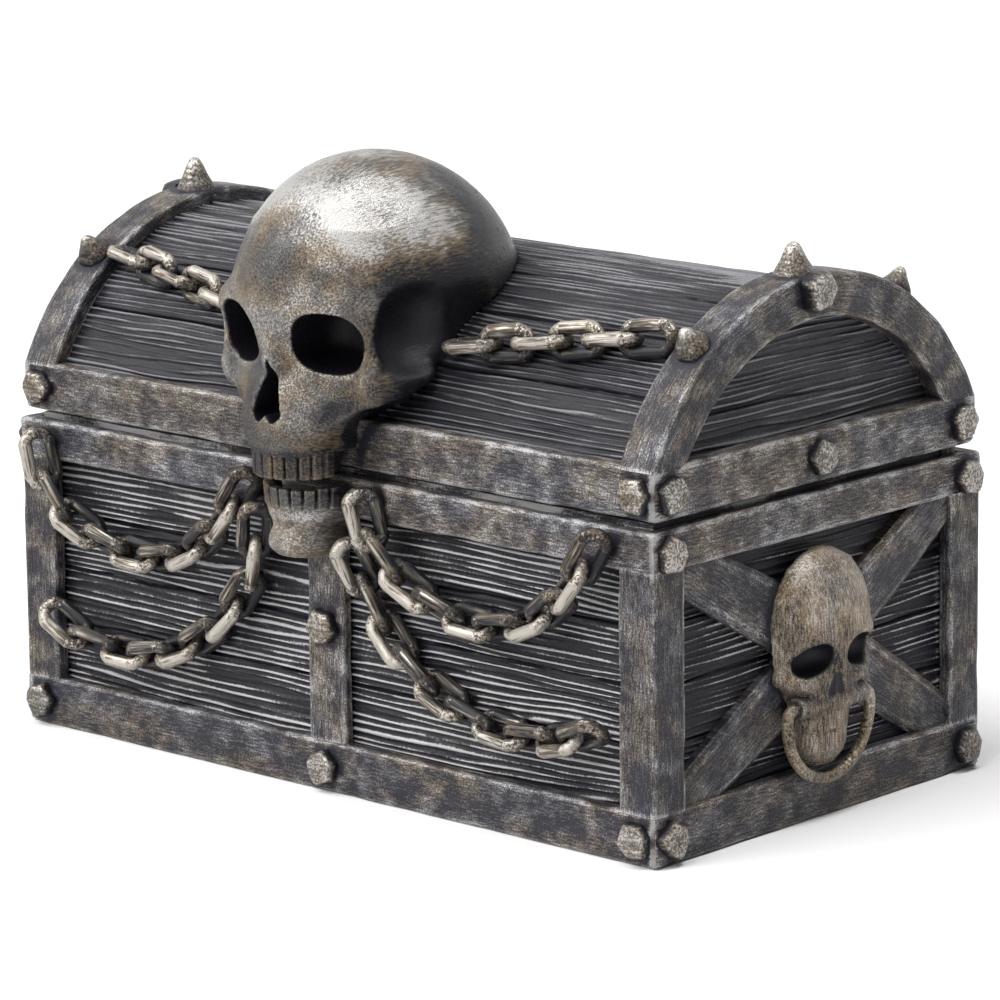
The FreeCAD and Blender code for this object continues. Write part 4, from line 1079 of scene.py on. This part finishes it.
def skull_paint_and_highlight(points):
    """Silver paint with a painted highlight lies thick on the forehead, with a painted dark reflection along
    the top, and the skull is darker down the face, at the teeth and low on the sides.
    """
    share = SKULL_PAINT_AND_LIGHT_SHARES
    y, z = points[:, 1], points[:, 2]
    crown = ramp(z, *CROWN_RISE) * ramp(y, *CROWN_BACK) * ramp(y, *CROWN_FRONT)
    crown = crown * (1 - share["top"] * ramp(z, *CROWN_TOP))
    thick = np.maximum(share["face"] * ramp(y, *FACE_FRONT), share["crown"] * crown)
    thin = share["foot"] * ramp(z, *FACE_FOOT) + share["teeth"] * ramp(z, *TEETH_TOP)
    return share["all"] + thick - thin


# The lower jaw
JAW_BOX = ((-11.0, -56.0, 41.0), (11.0, -40.5, 56.5))
JAW_ROWS = [
    (42.9, 5.0, -51.2),
    (44.3, 6.0, -52.6),
    (46.0, 6.2, -52.6),
    (48.0, 6.0, -51.6),
    (50.0, 6.9, -52.0),
    (52.0, 7.4, -52.2),
    (53.4, 7.2, -51.8),
]
JAW_JOINS = {"chin": face(JAW_ROWS, -41.8, 2.6, 0.1)}
JAW_CUTS = {"chin_pit": ball((1.6, -51.8, 48.6), (0.55, 0.55, 0.55), 0.8)}
JAW_TEETH = {
    "centre": (0, -45.2), "radius": 6.9, "count": 10, "fan": 80, "low": 51.4, "high": 55.2,
    "size": (0.94, 0.85), "splay": 0.10, "blend": 0.25,
}
JAW_BACK = -42.4
JAW_TEETH_FOOT = (50.6, 52.4)
JAW_PAINT_SHARES = {"all": 0.68, "teeth": 0.34}


def jaw_shape():
    field = Field(*JAW_BOX, SIZE["small_voxel"])
    field.build(JAW_JOINS, JAW_CUTS)
    teeth_row(field, **JAW_TEETH)
    field.value = np.maximum(field.value, field.y - JAW_BACK)
    return field


def jaw_cover(points):
    return JAW_PAINT_SHARES["all"] - JAW_PAINT_SHARES["teeth"] * ramp(points[:, 2], *JAW_TEETH_FOOT)


# An end skull, modelled facing the front with its back at y 0
MASK_BOX = ((-13.5, -8.0, 8.0), (13.5, 1.0, 48.5))
MASK_ROWS = [
    (9.4, 3.6, -2.4),
    (11.5, 5.4, -3.6),
    (15.0, 6.2, -3.9),
    (19.0, 7.0, -4.2),
    (23.0, 9.4, -4.5),
    (27.0, 11.0, -4.7),
    (31.0, 11.2, -4.9),
    (35.0, 10.6, -4.8),
    (39.0, 9.0, -4.0),
    (43.0, 6.0, -2.4),
]
MASK_JOINS = {
    "cranium": ball((0, 0.4, 34.8), (11.4, 6.3, 11.8), 0.1),
    "face": face(MASK_ROWS, 0.6, 2.6, 2.4),
    "cheekbone": bar((7.0, -3.6, 24.2), (11.0, -1.2, 25.6), (1.4, 1.0), 1.6),
    "brow": bar((1.8, -4.6, 32.2), (9.4, -3.2, 31.6), (0.8, 0.8), 2.0),
    "nasal_bone": bar((0, -4.8, 30.0), (0, -5.4, 26.2), (1.0, 0.9), 1.0),
}
# The last number of a cut, where given, is the depth at which painted shade and dark wash in it are full
MASK_CUTS = {
    "orbit": ball((6.0, -4.8, 28.6), (4.1, 4.2, 2.7), 0.5, 0.8, yaw=10, roll=8, power=2.3),
    "temple": ball((13.8, -3.2, 31.0), (3.0, 3.2, 5.0), 1.6),
    "cheek_hollow": ball((8.4, -4.0, 20.6), (2.4, 2.2, 2.4), 1.6),
    "nose": bar((0.4, -5.0, 25.4), (1.2, -5.0, 21.8), (0.6, 1.15), 0.3, 0.4),
}
MASK_TEETH = [
    {"centre": (0, 0.6), "radius": 4.5, "low": 15.9, "high": 19.0, "size": (0.6, 0.6)},
    {"centre": (0, 0.8), "radius": 4.3, "low": 12.2, "high": 15.1, "size": (0.58, 0.6)},
]
MASK_ARCH = {"count": 8, "fan": 60, "splay": 0.0, "blend": 0.35}
MASK_CROWN = (26.0, 40.0)
MASK_PAINT_SHARES = {"all": 0.46, "crown": 0.16}


def mask_shape():
    """The end skull with the bosses that hold the ring pull."""
    field = Field(*MASK_BOX, SIZE["small_voxel"])
    field.build(MASK_JOINS, MASK_CUTS)
    for row in MASK_TEETH:
        teeth_row(field, **row, **MASK_ARCH)
    pivot = ring_top - SIZE["ring_wire"]
    boss = np.hypot(field.y + SIZE["boss_out"], field.z - pivot) - SIZE["boss_radius"]
    field.join(np.maximum(boss, field.side - SIZE["boss_half"]), SIZE["boss_blend"])
    field.value = np.maximum(field.value, field.y)
    return field


def mask_cover(points):
    return MASK_PAINT_SHARES["all"] + MASK_PAINT_SHARES["crown"] * ramp(points[:, 2], *MASK_CROWN)


def to_end(side):
    """Moves an end skull to its wall."""
    def move(points):
        x, y, z = points.T
        return np.stack([(mask_wall - y) * side, x * side, z], axis=1)
    return move


BONE_LUMP_RUN, BONE_PIT_RUN = 3.0, 1.3
PIT_EDGES = (0.72, 0.95)
PIT_TO_LUMP = 4


def bone_shape(field, cover, roughness, seed, move=None):
    """The field's surface, roughened and pitted. Strokes run back over it, or up it where it is moved."""
    points, quads = field.mesh()
    hollow = field.sample(points, field.hollow)
    # cover gives the paint, and for the big skull also its painted highlight and painted dark reflection
    raised = cover(points)
    lumps = layered(*(points.T / BONE_LUMP_RUN), seed + 700, 3)
    pits = ramp(noise(*(points.T / BONE_PIT_RUN), seed + 720), *PIT_EDGES)
    outward = points - points.mean(0)
    outward /= np.maximum(np.linalg.norm(outward, axis=1), 1e-6)[:, None]
    flow = points[:, [1, 0, 2]] if move is None else points[:, [2, 0, 1]]
    points = points + outward * (roughness * (lumps - PIT_TO_LUMP * pits))[:, None]
    if move is not None:
        points = move(points)
    return Shape().add(points, quads, flow=flow, raised=raised, hollow=hollow)


# End straps
BRACE_ROUND_SHARE, BRACE_STEP_SHARE = 0.12, 0.04
BEVEL_SHARE = 0.28


def brace(side):
    """Two blade-like straps crossed on an end panel, each with one straight and one bowed edge."""
    shape = Shape()
    half, sink = SIZE["brace_half"], SIZE["brace_sink"]
    low_y, high_y = brace_low[1] - SIZE["brace_reach"], brace_high[1] + SIZE["brace_reach"]
    low_z, high_z = brace_low[2] - SIZE["brace_rise"], brace_high[2] + SIZE["brace_rise"]
    runs = [
        ((low_y, high_z), (high_y, low_z), 1, 0.0),
        ((low_y, low_z), (high_y, high_z), -1, SIZE["brace_lift"]),
    ]
    for seed, (start, end, bow_side, lift) in enumerate(runs, 80):
        run = np.subtract(end, start)
        length = np.linalg.norm(run)
        along = run / length
        left = np.array([-along[1], along[0]])
        t = steps(0.0, length, SIZE["strap_step"])
        thick = brace_high[0] - base_high[0] + sink + lift
        corners = [(-0.5, 0), (0.5, 0), (0.5, thick), (-0.5, thick)]
        points, _, _ = rounded_profile(corners, BRACE_ROUND_SHARE, BRACE_STEP_SHARE)
        share, level = points.T
        u, v = np.meshgrid(t, share * SIZE["brace_streaks"], indexing="ij")
        height = SIZE["streak_depth"] * streaks(u, v, seed)
        bow = SIZE["brace_bow"] * (1 - (2 * t / length - 1) ** 2)
        low_edge = (-half - bow * (bow_side < 0))[:, None]
        high_edge = (half + bow * (bow_side > 0))[:, None]
        width, middle = high_edge - low_edge, (low_edge + high_edge) / 2
        across = middle + share * width
        bevel = np.minimum(width / 2 - np.abs(across - middle), SIZE["brace_bevel"]) / SIZE["brace_bevel"]
        rise = level * (1 - BEVEL_SHARE + BEVEL_SHARE * bevel) + height * (level > 0.5)
        flat = np.array(start) + along * t[:, None]
        y = flat[:, None, 0] + left[0] * across
        z = flat[:, None, 1] + left[1] * across
        x = base_high[0] - sink + rise
        rings = np.stack([x * side, y * side, z], axis=-1)
        shape.add(*sweep(rings), flow=flow_of(t[:, None], across, seed))
    return shape


# Paint
PLAIN_LOOK = {
    "bare": False,
    "warm": None,
    "cover": 0.0,
    "relief": 1.0,
    "stroke": 2.0,
    "along": 0.06,
    "drag": 0.4,
    "speck": 2.6,
    "dust": 0.4,
    "patch": 0.09,
    "blotch": 0.4,
    "gloss": 0.36,
    "metal": 0.45,
}
WARM_PER_MM, WARM_ALONG, WARM_DETAIL, WARM_SPAN = 0.12, 0.5, 4.0, (0.36, 0.62)
WASH_SPAN, TIP_SPAN, METAL_SPAN = (0.2, 0.65), (0.62, 1.08), (0.3, 1.0)
NOISE_SPAN = (0.34, 0.66)
NOISE_DETAIL, NOISE_ROUGHNESS = 3.0, 0.6
# How far painted shade and dark wash darken the paint
WASH_AND_SHADE_DEPTH = 1.5
ROUGHNESS_SPREAD = 0.16
SPECULAR = 0.25
BUMP_STRENGTH, BUMP_DISTANCE = 0.3, 0.1 * MM


def painted(name, dark, mid, light, **changes):
    """Dark wash with metal paint dragged over whatever stands out.

    cover is how much paint takes hold and relief how far that follows the form. drag, dust and
    blotch are how far strokes, specks and patches break it up, and stroke, speck and patch how
    many of them there are per millimetre. A bare piece is a CAD solid without flow.
    """
    look = {**PLAIN_LOOK, **changes}
    material = bpy.data.materials.new(name)
    material.use_nodes = True
    nodes, links = material.node_tree.nodes, material.node_tree.links
    shader = nodes["Principled BSDF"]

    def attribute(label):
        made = nodes.new("ShaderNodeAttribute")
        made.attribute_name = label
        return made.outputs

    if look["bare"]:
        place, unit = nodes.new("ShaderNodeTexCoord").outputs["Object"], 1 / MM
    else:
        place, unit = attribute("flow")["Vector"], 1.0

    def texture(per_mm, along=1.0, detail=NOISE_DETAIL, span=NOISE_SPAN):
        mapping = nodes.new("ShaderNodeMapping")
        mapping.inputs["Scale"].default_value = [per_mm * along * unit, per_mm * unit, per_mm * unit]
        links.new(place, mapping.inputs["Vector"])
        made = nodes.new("ShaderNodeTexNoise")
        made.inputs["Scale"].default_value = 1.0
        made.inputs["Detail"].default_value = detail
        made.inputs["Roughness"].default_value = NOISE_ROUGHNESS
        links.new(mapping.outputs["Vector"], made.inputs["Vector"])
        return spread(made.outputs["Fac"], span)

    def total(kind, a, b):
        made = nodes.new("ShaderNodeMath")
        made.operation = kind
        for socket, value in zip(made.inputs, (a, b)):
            if hasattr(value, "is_output"):
                links.new(value, socket)
            else:
                socket.default_value = value
        return made.outputs[0]

    def spread(value, span, to_span=(0.0, 1.0)):
        made = nodes.new("ShaderNodeMapRange")
        made.interpolation_type = "SMOOTHSTEP"
        for socket, number in zip(("From Min", "From Max", "To Min", "To Max"), (*span, *to_span)):
            made.inputs[socket].default_value = number
        links.new(value, made.inputs["Value"])
        return made.outputs["Result"]

    def mixed(share, a, b):
        made = nodes.new("ShaderNodeMix")
        made.data_type = "RGBA"
        links.new(share, made.inputs["Factor"])
        for socket, value in zip(("A", "B"), (a, b)):
            target = next(s for s in made.inputs if s.name == socket and s.type == "RGBA")
            if hasattr(value, "is_output"):
                links.new(value, target)
            else:
                target.default_value = (*value, 1)
        return next(s for s in made.outputs if s.type == "RGBA")

    strokes = texture(look["stroke"], look["along"])
    specks = texture(look["speck"])
    patches = texture(look["patch"])
    cover = total("MULTIPLY", attribute("raised")["Fac"], look["relief"])
    cover = total("ADD", cover, look["cover"])
    for texture_value, share in ((strokes, "drag"), (specks, "dust"), (patches, "blotch")):
        change = total("MULTIPLY", total("SUBTRACT", texture_value, 0.5), look[share])
        cover = total("ADD", cover, change)
    # Painted shade and dark wash in cuts and next to fasteners and links take the paint away
    cover = total("SUBTRACT", cover, total("MULTIPLY", attribute("hollow")["Fac"], WASH_AND_SHADE_DEPTH))
    warmth = texture(WARM_PER_MM, WARM_ALONG, WARM_DETAIL, WARM_SPAN)
    colour = mixed(spread(cover, WASH_SPAN), dark, mixed(warmth, mid, look["warm"] or mid))
    links.new(mixed(spread(cover, TIP_SPAN), colour, light), shader.inputs["Base Color"])
    links.new(spread(cover, METAL_SPAN, (0.0, look["metal"])), shader.inputs["Metallic"])
    roughness = spread(specks, (0.0, 1.0), (look["gloss"] + ROUGHNESS_SPREAD, look["gloss"]))
    links.new(roughness, shader.inputs["Roughness"])
    shader.inputs["Specular IOR Level"].default_value = SPECULAR
    bump = nodes.new("ShaderNodeBump")
    bump.inputs["Strength"].default_value = BUMP_STRENGTH
    bump.inputs["Distance"].default_value = BUMP_DISTANCE
    links.new(total("ADD", strokes, specks), bump.inputs["Height"])
    links.new(bump.outputs["Normal"], shader.inputs["Normal"])
    return material


INK = (0.008, 0.008, 0.011)
WASH = (0.010, 0.010, 0.014)

timber = painted(
    "timber_paint", (0.007, 0.007, 0.011), (0.036, 0.036, 0.046), (0.43, 0.425, 0.43),
    warm=(0.044, 0.039, 0.037), cover=-0.24, relief=1.9, stroke=3.0, drag=0.24, dust=0.3, blotch=0.3,
    gloss=0.42, metal=0.2,
)
lid_timber = painted(
    "lid_timber_paint", (0.009, 0.009, 0.013), (0.042, 0.042, 0.053), (0.17, 0.168, 0.18),
    warm=(0.050, 0.045, 0.044), cover=-0.31, relief=1.6, stroke=3.0, drag=0.2, dust=0.2, blotch=0.3,
    gloss=0.34, metal=0.2,
)


def strap_paint(name, cover):
    return painted(
        name, (0.014, 0.014, 0.021), (0.092, 0.090, 0.100), (0.36, 0.355, 0.355),
        warm=(0.122, 0.098, 0.072), cover=cover, relief=1.15, stroke=3.0, along=0.14, drag=0.40,
        speck=3.0, dust=0.44, patch=0.2, blotch=0.42, gloss=0.34, metal=0.25,
    )


strap = strap_paint("strap_paint", -0.07)
# A darker copy of the strap paint: painted shade on the foot, the corner posts, the hoops and the end braces
shaded_strap = strap_paint("shaded_strap_paint", -0.20)
bone = painted(
    "bone_paint", WASH, (0.090, 0.086, 0.082), (0.42, 0.41, 0.395),
    warm=(0.15, 0.110, 0.068), cover=-0.09, relief=1.25, stroke=3.2, along=0.1, drag=0.38,
    speck=5.5, dust=0.24, blotch=0.36, gloss=0.19, metal=0.5,
)
mask_paint = painted(
    "mask_paint", WASH, (0.17, 0.150, 0.130), (0.47, 0.445, 0.415),
    warm=(0.24, 0.175, 0.11), cover=-0.09, relief=1.25, stroke=3.0, along=0.16, speck=5.0,
    gloss=0.30, metal=0.4,
)
link_paint = painted(
    "chain_paint", INK, (0.07, 0.062, 0.052), (0.42, 0.385, 0.34),
    warm=(0.13, 0.098, 0.066), cover=-0.34, relief=1.3, stroke=1.6, along=0.5, drag=0.45,
    speck=2.4, dust=0.7, gloss=0.26, metal=0.5,
)
head_paint = painted(
    "rivet_paint", INK, (0.12, 0.110, 0.096), (0.46, 0.44, 0.415),
    warm=(0.13, 0.10, 0.07), cover=-0.32, relief=1.15, drag=0.3, dust=0.45, blotch=0.25, gloss=0.26,
)
iron = painted(
    "ring_paint", INK, (0.20, 0.175, 0.14), (0.50, 0.47, 0.42),
    warm=(0.22, 0.165, 0.105), bare=True, cover=0.62, relief=0.0, stroke=1.5, along=1.0, drag=0.3, gloss=0.28,
)
black_iron = painted("hinge_paint", INK, (0.05, 0.05, 0.055), (0.14, 0.14, 0.14), bare=True, cover=0.5)
steel = painted(
    "pin_paint", (0.2, 0.2, 0.2), (0.4, 0.4, 0.4), (0.55, 0.55, 0.55), bare=True, cover=0.6, metal=0.95
)

# What counts as a raised edge on each kind of piece: rounds of smoothing and millimetres
STRAP_WEAR = (4, 0.12)
TIMBER_WEAR = (6, 0.16)
LINK_WEAR = (6, 0.15)
NAIL_WEAR = (6, 0.2)
SPIKE_WEAR = (6, 0.25)
SKULL_WEAR = (14, 0.22)
SMALL_BONE_WEAR = (10, 0.16)

# How much of their lightness links that face up keep
FRONT_SHADED_SHARE, LID_SHADED_SHARE = 0.42, 0.8

SWAGS = ("upper_left", "lower_left", "upper_right", "lower_right")
# The parts next to which painted shade and dark wash lie, on the base and on the lid
ON_BASE = ["base_rivets", "lower_jaw"] + ["front_chain_" + name for name in SWAGS]
ON_LID = ["lid_rivets", "lid_studs", "lid_chain_left", "lid_chain_right", "skull"]


def strap_piece(name, shape, body, node, paint, neighbours=()):
    piece(name, shape, body, [node], paint, STRAP_WEAR, neighbours)


# Pieces
piece("base_timber", base_planks(), "base", ["base_shell"], timber, TIMBER_WEAR, ON_BASE)
foot_strap = band(foot_low, foot_high, base_high, 60)
strap_piece("foot_strap", foot_strap, "base", "base_bottom_band", shaded_strap, ON_BASE)
strap_piece("rail_strap", band(rail_low, rail_high, base_high, 65), "base", "base_top_band", strap, ON_BASE)
corners = [("front_left", -1, -1), ("front_right", 1, -1), ("back_left", -1, 1), ("back_right", 1, 1)]
for number, (label, side_x, side_y) in enumerate(corners):
    post = corner_post(side_x, side_y, 90 + 3 * number)
    strap_piece("post_" + label, post, "base", "corner_post_" + label, shaded_strap, ON_BASE)
front_strap = centre_strap("front_centre_strap", 110)
strap_piece("front_strap", front_strap, "base", "front_centre_strap", strap, ON_BASE)
strap_piece("back_strap", centre_strap("back_centre_strap", 113), "base", "back_centre_strap", strap)
piece("lid_timber", lid_planks(), "lid", ["lid_shell"], lid_timber, TIMBER_WEAR, ON_LID)
strap_piece("rim_strap", band(rim_low, rim_high, lid_high, 120), "lid", "lid_band", strap, ON_LID)
strap_piece("hoop_left", lid_hoop(-1, 130), "lid", "lid_hoop_left", shaded_strap, ON_LID)
strap_piece("hoop_right", lid_hoop(1, 134), "lid", "lid_hoop_right", shaded_strap, ON_LID)
for side, name in ((1, "right"), (-1, "left")):
    mask = name + "_skull_mask"
    strap_piece("cross_" + name, brace(side), "base", name + "_cross_brace", shaded_strap, [mask])
base_outward = face_outward(*rail_high[:2])
for name in SWAGS:
    node = "front_chain_" + name
    links = chain(node, base_outward, FRONT_SHADED_SHARE)
    piece("swag_" + name, links, "base", [node], link_paint, LINK_WEAR)
for name in ("left", "right"):
    node = "lid_chain_" + name
    links = chain(node, arch_outward, LID_SHADED_SHARE)
    piece("lid_links_" + name, links, "lid", [node], link_paint, LINK_WEAR)
base_heads = heads("base_rivets", base_outward)
piece("base_nails", base_heads, "base", ["base_rivets"], head_paint, NAIL_WEAR)
lid_heads = heads("lid_rivets", face_outward(*rim_high[:2]))
piece("lid_nails", lid_heads, "lid", ["lid_rivets"], head_paint, NAIL_WEAR)
spikes = heads("lid_studs", stud_outward, lambda points: not on_end(points))
piece("lid_spikes", spikes, "lid", ["lid_studs"], head_paint, SPIKE_WEAR)
skull = bone_shape(skull_shape(), skull_paint_and_highlight, SIZE["bone_rough"], 0)
piece("skull_bone", skull, "lid", ["skull"], bone, SKULL_WEAR)
jaw = bone_shape(jaw_shape(), jaw_cover, SIZE["bone_rough"], 5)
piece("jaw_bone", jaw, "base", ["lower_jaw"], bone, SMALL_BONE_WEAR)
mask_field = mask_shape()
for side, name in ((1, "right"), (-1, "left")):
    mask = bone_shape(mask_field, mask_cover, SIZE["mask_rough"], 9, to_end(side))
    piece(name + "_end_skull", mask, "base", [name + "_skull_mask"], mask_paint, SMALL_BONE_WEAR)

for node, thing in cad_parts.items():
    if not thing.hide_render:
        paint = iron if node.endswith("ring_pull") else steel if node.endswith("_pin") else black_iron
        thing.data.materials.clear()
        thing.data.materials.append(paint)


# Stage, light and camera
def area_light(name, place, aim, size, watts):
    data = bpy.data.lights.new(name, "AREA")
    data.energy = watts
    data.size = size
    lamp = bpy.data.objects.new(name, data)
    lamp.location = place
    lamp.rotation_euler = (Vector(aim) - Vector(place)).to_track_quat("-Z", "Y").to_euler()
    bpy.context.scene.collection.objects.link(lamp)


FLOOR_REACH = 4.0
FLOOR_WHITE = (0.95, 0.95, 0.95, 1)
FLOOR_ROUGHNESS = 0.9


def floor():
    reach = FLOOR_REACH
    mesh = bpy.data.meshes.new("floor")
    corners = [(-reach, -reach, 0), (reach, -reach, 0), (reach, reach, 0), (-reach, reach, 0)]
    mesh.from_pydata(corners, [], [(0, 1, 2, 3)])
    material = bpy.data.materials.new("floor_white")
    material.use_nodes = True
    shader = material.node_tree.nodes["Principled BSDF"]
    shader.inputs["Base Color"].default_value = FLOOR_WHITE
    shader.inputs["Roughness"].default_value = FLOOR_ROUGHNESS
    shader.inputs["Specular IOR Level"].default_value = 0.0
    mesh.materials.append(material)
    thing = bpy.data.objects.new("floor", mesh)
    bpy.context.scene.collection.objects.link(thing)


def sun(name, direction, spread, strength):
    data = bpy.data.lights.new(name, "SUN")
    data.energy = strength
    data.angle = math.radians(spread)
    lamp = bpy.data.objects.new(name, data)
    lamp.rotation_euler = Vector(direction).to_track_quat("Z", "Y").to_euler()
    bpy.context.scene.collection.objects.link(lamp)


def white_world(ambient):
    """White to the camera and in reflections, and a weaker soft light on everything."""
    world = bpy.data.worlds.new("studio")
    bpy.context.scene.world = world
    world.use_nodes = True
    nodes, links = world.node_tree.nodes, world.node_tree.links
    background = nodes["Background"]
    background.inputs["Color"].default_value = (1, 1, 1, 1)
    path = nodes.new("ShaderNodeLightPath")
    seen = path.outputs["Is Camera Ray"]
    for kind in ("Is Glossy Ray", "Is Transmission Ray"):
        either = nodes.new("ShaderNodeMath")
        either.operation = "MAXIMUM"
        links.new(seen, either.inputs[0])
        links.new(path.outputs[kind], either.inputs[1])
        seen = either.outputs[0]
    strength = nodes.new("ShaderNodeMapRange")
    strength.inputs["To Min"].default_value = ambient
    links.new(seen, strength.inputs["Value"])
    links.new(strength.outputs["Result"], background.inputs["Strength"])


CAMERA_AZIMUTH = 42.77
CAMERA_ELEVATION = 12.51
CAMERA_ROLL = -0.70
CAMERA_DISTANCE = 0.953
CAMERA_TARGET = Vector((0.002, 0.0, 0.0442))
FOCAL_PIXELS = 5435.0
FRAME_PIXELS = 1000.0


def photo_camera():
    azimuth, elevation, roll = (math.radians(v) for v in (CAMERA_AZIMUTH, CAMERA_ELEVATION, CAMERA_ROLL))
    level_back = Vector((math.sin(azimuth), -math.cos(azimuth), 0))
    back = math.cos(elevation) * level_back + math.sin(elevation) * Vector((0, 0, 1))
    level_right = Vector((math.cos(azimuth), math.sin(azimuth), 0))
    level_up = back.cross(level_right)
    right = math.cos(roll) * level_right + math.sin(roll) * level_up
    up = math.cos(roll) * level_up - math.sin(roll) * level_right
    data = bpy.data.cameras.new("photo_camera")
    data.lens = FOCAL_PIXELS * data.sensor_width / FRAME_PIXELS
    camera = bpy.data.objects.new("photo_camera", data)
    turn = Matrix((right, up, back)).transposed().to_4x4()
    camera.matrix_world = Matrix.Translation(CAMERA_TARGET + back * CAMERA_DISTANCE) @ turn
    bpy.context.scene.collection.objects.link(camera)
    bpy.context.scene.camera = camera


AMBIENT = 0.15
KEY_DIRECTION = (-0.42, -0.74, 0.85)
KEY_SPREAD = 72
KEY_STRENGTH = 4.1
TOP_PLACE, TOP_AIM = (0.25, 0.05, 0.78), (0, 0, 0.08)
TOP_SIZE, TOP_WATTS = 0.24, 3.1

floor()
white_world(AMBIENT)
sun("key", KEY_DIRECTION, KEY_SPREAD, KEY_STRENGTH)
area_light("top", TOP_PLACE, TOP_AIM, TOP_SIZE, TOP_WATTS)
photo_camera()
bpy.context.scene.view_settings.view_transform = "Standard"
